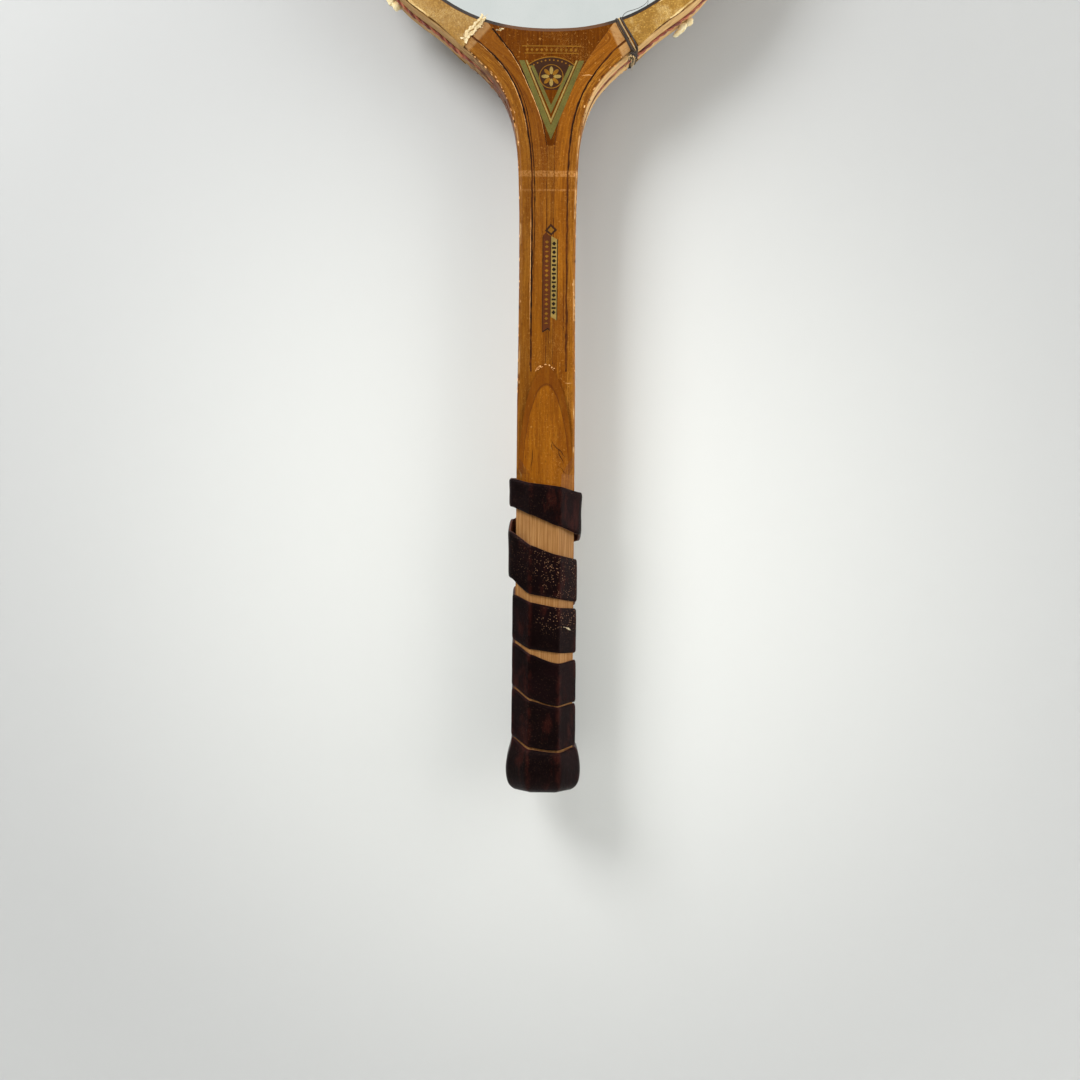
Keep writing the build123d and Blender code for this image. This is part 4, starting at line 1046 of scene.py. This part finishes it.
while z < 281.5:
    if i % 2:
        lay([(2.3, z - 0.5), (4.5, z - 0.5), (4.5, z + 0.5), (2.3, z + 0.5)], "d_black", 1)
    else:
        lay([(2.3, z), (3.4, z + 1.15), (4.5, z), (3.4, z - 1.15)], "d_black", 1)
    z += 2.2
    i += 1
lay([(-1.4, 287.4), (1.6, 291.0), (4.9, 287.8), (1.9, 284.9)], "d_brown", 1)
lay([(0.1, 287.6), (1.6, 289.5), (3.4, 287.8), (1.8, 286.1)], "d_gold", 2)
shaft_transfer = D.done("shaft_transfer_ornament", [M[m] for m in mats], False)
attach(shaft_transfer, BODY)
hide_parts("shaft_decal")

# ------------------------------------------------------------------ small damage: chip at the arch's point, cracks on the neck (the scratch on the leather is made with the grip)
g = Build()
crumb = random.Random(5)
for i in range(15):
    q = (i + 0.5) / 15
    x = -4.6 + 8.8 * q
    z = 218.6 - 3.0 * abs(q - 0.52) ** 1.4 * 2.2 + crumb.uniform(-0.9, 0.9)
    rx, rz = crumb.uniform(0.3, 0.75), crumb.uniform(0.22, 0.55)
    ph = crumb.uniform(0, 6.28)
    k_ = crumb.randint(5, 8)
    poly = []
    for j in range(k_):
        a = math.tau * j / k_
        u, v = rx * math.cos(a) * crumb.uniform(0.6, 1.2), rz * math.sin(a) * crumb.uniform(0.6, 1.2)
        poly.append((x + u * math.cos(ph) - v * math.sin(ph), z + u * math.sin(ph) + v * math.cos(ph)))
    g.slab(poly, -HD + 0.1, -HD - 0.22 - 0.2 * q, 0)
g.ribbon([(-5.6, 215.4), (-4.9, 217.0), (-3.6, 218.2)], 0.28, -HD + 0.1, -HD - 0.14, 0, 3.0, 0.5, 0.9)
chips = g.done("neck_chip", [M["line_light"]], False)
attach(chips, BODY)


def pallet_y(z):
    """Depth of the front pallet's outside face."""
    pts = [(146.0, HY), (165.0, 12.6), (192.0, 10.7), (222.0, 9.65)]
    if z <= 146:
        return -HY
    for (z0, a), (z1, b2) in zip(pts, pts[1:]):
        if z <= z1:
            return -(a + (b2 - a) * (z - z0) / (z1 - z0))
    return -9.65


g = Build()
cracks = [
    [(2.6, 180.2), (4.4, 177.2), (5.6, 175.9), (7.8, 174.2), (9.2, 172.0), (11.4, 170.8)],
    [(6.2, 175.4), (7.0, 172.4), (8.6, 169.6), (9.0, 167.2)],
    [(3.2, 178.8), (3.0, 176.4), (4.0, 174.2)],
    [(6.0, 166.8), (8.2, 165.6), (9.4, 163.6), (11.2, 162.6)],
    [(-8.0, 165.0), (-6.8, 170.0), (-6.6, 176.0)],
]
for i, c in enumerate(cracks):
    line3 = [Vector((p.x, pallet_y(p.y) - 0.02, p.y)) for p in even(catmull([Vector(q) for q in c], 8), 0.5)]
    g.tube(line3, lambda u, i=i: (0.15 if i < 2 else 0.11) * (1.05 - abs(2 * u - 1) ** 2), 0, 5)
cr = g.done("neck_cracks", [M["line_dark"]], False)
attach(cr, BODY)

# flaked lacquer along the outer edges of the shaft and throat
OUTER = [(14.9, 205.0), (14.5, 240.0), (14.5, 280.0), (14.9, 308.0), (15.5, 322.0), (16.3, 333.0), (17.8, 342.5), (20.3, 351.5), (24.8, 361.0), (31.0, 368.8), (38.0, 375.6), (44.6, 381.2)]
edge_line = even(catmull([Vector(q) for q in OUTER], 12), 0.4)
fl = Build()
ch = random.Random(21)
for sgn in (-1, 1):
    for face in (-1, 1):
        i = 0
        while i < len(edge_line) - 3:
            p, q = edge_line[i], edge_line[i + 1]
            t = (q - p).normalized()
            nn = Vector((-t.y, t.x))
            if nn.x > 0:
                nn = -nn
            busy = 1.0 if p.y > 338 else 0.45
            if ch.random() < 0.75 * busy:
                L, W = ch.uniform(0.5, 2.6), ch.uniform(0.25, 0.95 if p.y > 330 else 0.6)
                off = ch.choice((0.0, 0.0, 0.0, ch.uniform(0.3, 1.6)))
                cx = p + nn * off
                poly = []
                kk = ch.randint(6, 9)
                for j in range(kk):
                    a = math.tau * j / kk
                    du, dv = L * 0.5 * math.cos(a) * ch.uniform(0.5, 1.15), W * (0.5 + 0.5 * math.sin(a)) * ch.uniform(0.6, 1.0)
                    r_ = cx + t * du + nn * dv
                    poly.append((r_.x * sgn, r_.y))
                fl.slab(poly, face * (HD - 0.04), face * (HD + ch.uniform(0.015, 0.045)), 0 if ch.random() < 0.75 else 1)
            i += ch.randint(2, 7)
flakes = fl.done("edge_flakes", [M["line_light"], M["line_brown"]], False)
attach(flakes, BODY)

# ------------------------------------------------------------------ stage, lights, camera
def stage_material():
    mat = bpy.data.materials.new("backdrop")
    mat.use_nodes = True
    t = mat.node_tree
    t.nodes.clear()
    out = t.nodes.new("ShaderNodeOutputMaterial")
    mixs = t.nodes.new("ShaderNodeMixShader")
    geo = t.nodes.new("ShaderNodeNewGeometry")
    tr = t.nodes.new("ShaderNodeBsdfTransparent")
    d = t.nodes.new("ShaderNodeBsdfDiffuse")
    tc = t.nodes.new("ShaderNodeTexCoord")
    ln = t.nodes.new("ShaderNodeVectorMath")
    ln.operation = "LENGTH"
    t.links.new(tc.outputs["Object"], ln.inputs[0])
    # painted pool of light: the backdrop's colour is lighter in the middle and darker towards the edges
    mr = t.nodes.new("ShaderNodeMapRange")
    mr.interpolation_type = "SMOOTHSTEP"
    mr.inputs[1].default_value, mr.inputs[2].default_value = 0.0, 0.36
    mr.inputs[3].default_value, mr.inputs[4].default_value = 0.0, 1.0
    t.links.new(ln.outputs["Value"], mr.inputs[0])
    mx = t.nodes.new("ShaderNodeMix")
    mx.data_type = "RGBA"
    mx.inputs[6].default_value = (0.86, 0.87, 0.845, 1)
    mx.inputs[7].default_value = (0.575, 0.582, 0.58, 1)
    t.links.new(mr.outputs[0], mx.inputs[0])
    sp = t.nodes.new("ShaderNodeSeparateXYZ")
    t.links.new(tc.outputs["Object"], sp.inputs[0])
    # painted falloff: the backdrop's colour is lighter towards the bottom and towards the right
    vr = t.nodes.new("ShaderNodeMapRange")
    vr.inputs[1].default_value, vr.inputs[2].default_value = -0.32, 0.32
    vr.inputs[3].default_value, vr.inputs[4].default_value = 1.10, 0.92
    t.links.new(sp.outputs[2], vr.inputs[0])
    sc = t.nodes.new("ShaderNodeVectorMath")
    sc.operation = "SCALE"
    t.links.new(mx.outputs[2], sc.inputs[0])
    hr = t.nodes.new("ShaderNodeMapRange")
    hr.inputs[1].default_value, hr.inputs[2].default_value = -0.25, 0.25
    hr.inputs[3].default_value, hr.inputs[4].default_value = 0.845, 0.935
    t.links.new(sp.outputs[0], hr.inputs[0])
    hv = t.nodes.new("ShaderNodeMath")
    hv.operation = "MULTIPLY"
    t.links.new(vr.outputs[0], hv.inputs[0])
    t.links.new(hr.outputs[0], hv.inputs[1])
    t.links.new(hv.outputs[0], sc.inputs["Scale"])
    t.links.new(sc.outputs["Vector"], d.inputs[0])
    lp = t.nodes.new("ShaderNodeLightPath")
    mxm = t.nodes.new("ShaderNodeMath")
    mxm.operation = "MAXIMUM"
    t.links.new(geo.outputs["Backfacing"], mxm.inputs[0])
    t.links.new(lp.outputs["Is Shadow Ray"], mxm.inputs[1])
    t.links.new(mxm.outputs[0], mixs.inputs[0])
    t.links.new(d.outputs[0], mixs.inputs[1])
    t.links.new(tr.outputs[0], mixs.inputs[2])
    t.links.new(mixs.outputs[0], out.inputs[0])
    return mat


CAM_Z = 129.0
D_CAM = 545.0
WALL_Y = 31.0


def plane(name, centre, ux, uy, sx, sy, mat):
    me = bpy.data.meshes.new(name)
    ux, uy = Vector(ux), Vector(uy)
    vs = [ux * (-sx) + uy * (-sy), ux * sx + uy * (-sy), ux * sx + uy * sy, ux * (-sx) + uy * sy]
    me.from_pydata([tuple(v) for v in vs], [], [(0, 1, 2, 3)])
    me.materials.append(mat)
    o = bpy.data.objects.new(name, me)
    o.location = centre
    scene.collection.objects.link(o)
    return o


wall = plane("stage_wall", P(-2.5, WALL_Y, CAM_Z), (1, 0, 0), (0, 0, 1), 3.0, 3.0, stage_material())
fm = bpy.data.materials.new("floor_pale")
fm.use_nodes = True
fm.node_tree.nodes["Principled BSDF"].inputs["Base Color"].default_value = (0.8, 0.8, 0.78, 1)
fm.node_tree.nodes["Principled BSDF"].inputs["Roughness"].default_value = 0.8
floor = plane("stage_floor", P(0, -1200, -420), (1, 0, 0), (0, 1, 0), 3.0, 1.27, fm)


def area(name, loc, target, sx, sy, energy, colour=(1, 1, 1)):
    l = bpy.data.lights.new(name, "AREA")
    l.shape = "RECTANGLE"
    l.size, l.size_y = sx, sy
    l.energy = energy
    l.color = colour
    o = bpy.data.objects.new(name, l)
    o.location = loc
    o.rotation_mode = "QUATERNION"
    o.rotation_quaternion = (Vector(target) - Vector(loc)).to_track_quat("-Z", "Y")
    scene.collection.objects.link(o)
    return o


area("key_right", P(900, -420, 460), P(0, 0, 330), 0.8, 1.2, 4.6, (1.0, 0.985, 0.96))
area("back_fill", P(420, 1500, 760), P(0, 0, 330), 1.4, 1.4, 8.0)
area("upper_left", P(-600, -620, 840), P(20, 40, 250), 0.46, 0.46, 10.6)
world = bpy.data.worlds.new("soft_world")
scene.world = world
world.use_nodes = True
wt = world.node_tree
wt.nodes.clear()
wout = wt.nodes.new("ShaderNodeOutputWorld")
bg = wt.nodes.new("ShaderNodeBackground")
wt.links.new(bg.outputs[0], wout.inputs[0])
wc = wt.nodes.new("ShaderNodeTexCoord")
wsep = wt.nodes.new("ShaderNodeSeparateXYZ")
wt.links.new(wc.outputs["Generated"], wsep.inputs[0])


def wstep(sock, a, b, flip=False):
    n = wt.nodes.new("ShaderNodeMapRange")
    n.interpolation_type = "SMOOTHSTEP"
    n.inputs[1].default_value, n.inputs[2].default_value = a, b
    n.inputs[3].default_value, n.inputs[4].default_value = (1.0, 0.0) if flip else (0.0, 1.0)
    wt.links.new(sock, n.inputs[0])
    return n.outputs[0]


def wmax(a, b):
    n = wt.nodes.new("ShaderNodeMath")
    n.operation = "MAXIMUM"
    wt.links.new(a, n.inputs[0])
    wt.links.new(b, n.inputs[1])
    return n.outputs[0]


def wcol(fac, base, colour):
    n = wt.nodes.new("ShaderNodeMix")
    n.data_type = "RGBA"
    wt.links.new(fac, n.inputs[0])
    if isinstance(base, tuple):
        n.inputs[6].default_value = base
    else:
        wt.links.new(base, n.inputs[6])
    n.inputs[7].default_value = colour
    return n.outputs[2]


sky = wcol(wstep(wsep.outputs[1], -0.3, 0.3), (0.16, 0.16, 0.16, 1), (0.6, 0.61, 0.61, 1))
sky = wcol(wstep(wsep.outputs[2], 0.405, 0.432), sky, (0.78, 0.80, 0.785, 1))
sky = wcol(wstep(wsep.outputs[2], -0.75, -0.45, True), sky, (0.3, 0.3, 0.3, 1))
sky = wcol(wstep(wsep.outputs[0], -0.75, -0.45, True), sky, (0.2, 0.205, 0.205, 1))
sky = wcol(wstep(wsep.outputs[0], 0.42, 0.68), sky, (1.5, 1.48, 1.44, 1))
wt.links.new(sky, bg.inputs[0])
bg.inputs[1].default_value = 1.0
scene.view_settings.view_transform = "Standard"
scene.view_settings.look = "None"
scene.view_settings.exposure = 0.0
scene.view_settings.gamma = 1.0

cam = bpy.data.cameras.new("camera")
cam.sensor_width = 36.0
cam.lens = 18.0 * D_CAM / 276.5
cam.clip_start = 0.01
cam_o = bpy.data.objects.new("camera", cam)
cam_o.location = P(-2.5, -HD - D_CAM, CAM_Z)
roll = math.radians(0.505)
right_v = Vector((math.cos(roll), 0, math.sin(roll)))
up_v = Vector((-math.sin(roll), 0, math.cos(roll)))
back_v = Vector((0, -1, 0))
cam_o.rotation_mode = "QUATERNION"
cam_o.rotation_quaternion = Matrix((right_v, up_v, back_v)).transposed().to_quaternion()
scene.collection.objects.link(cam_o)
scene.camera = cam_o
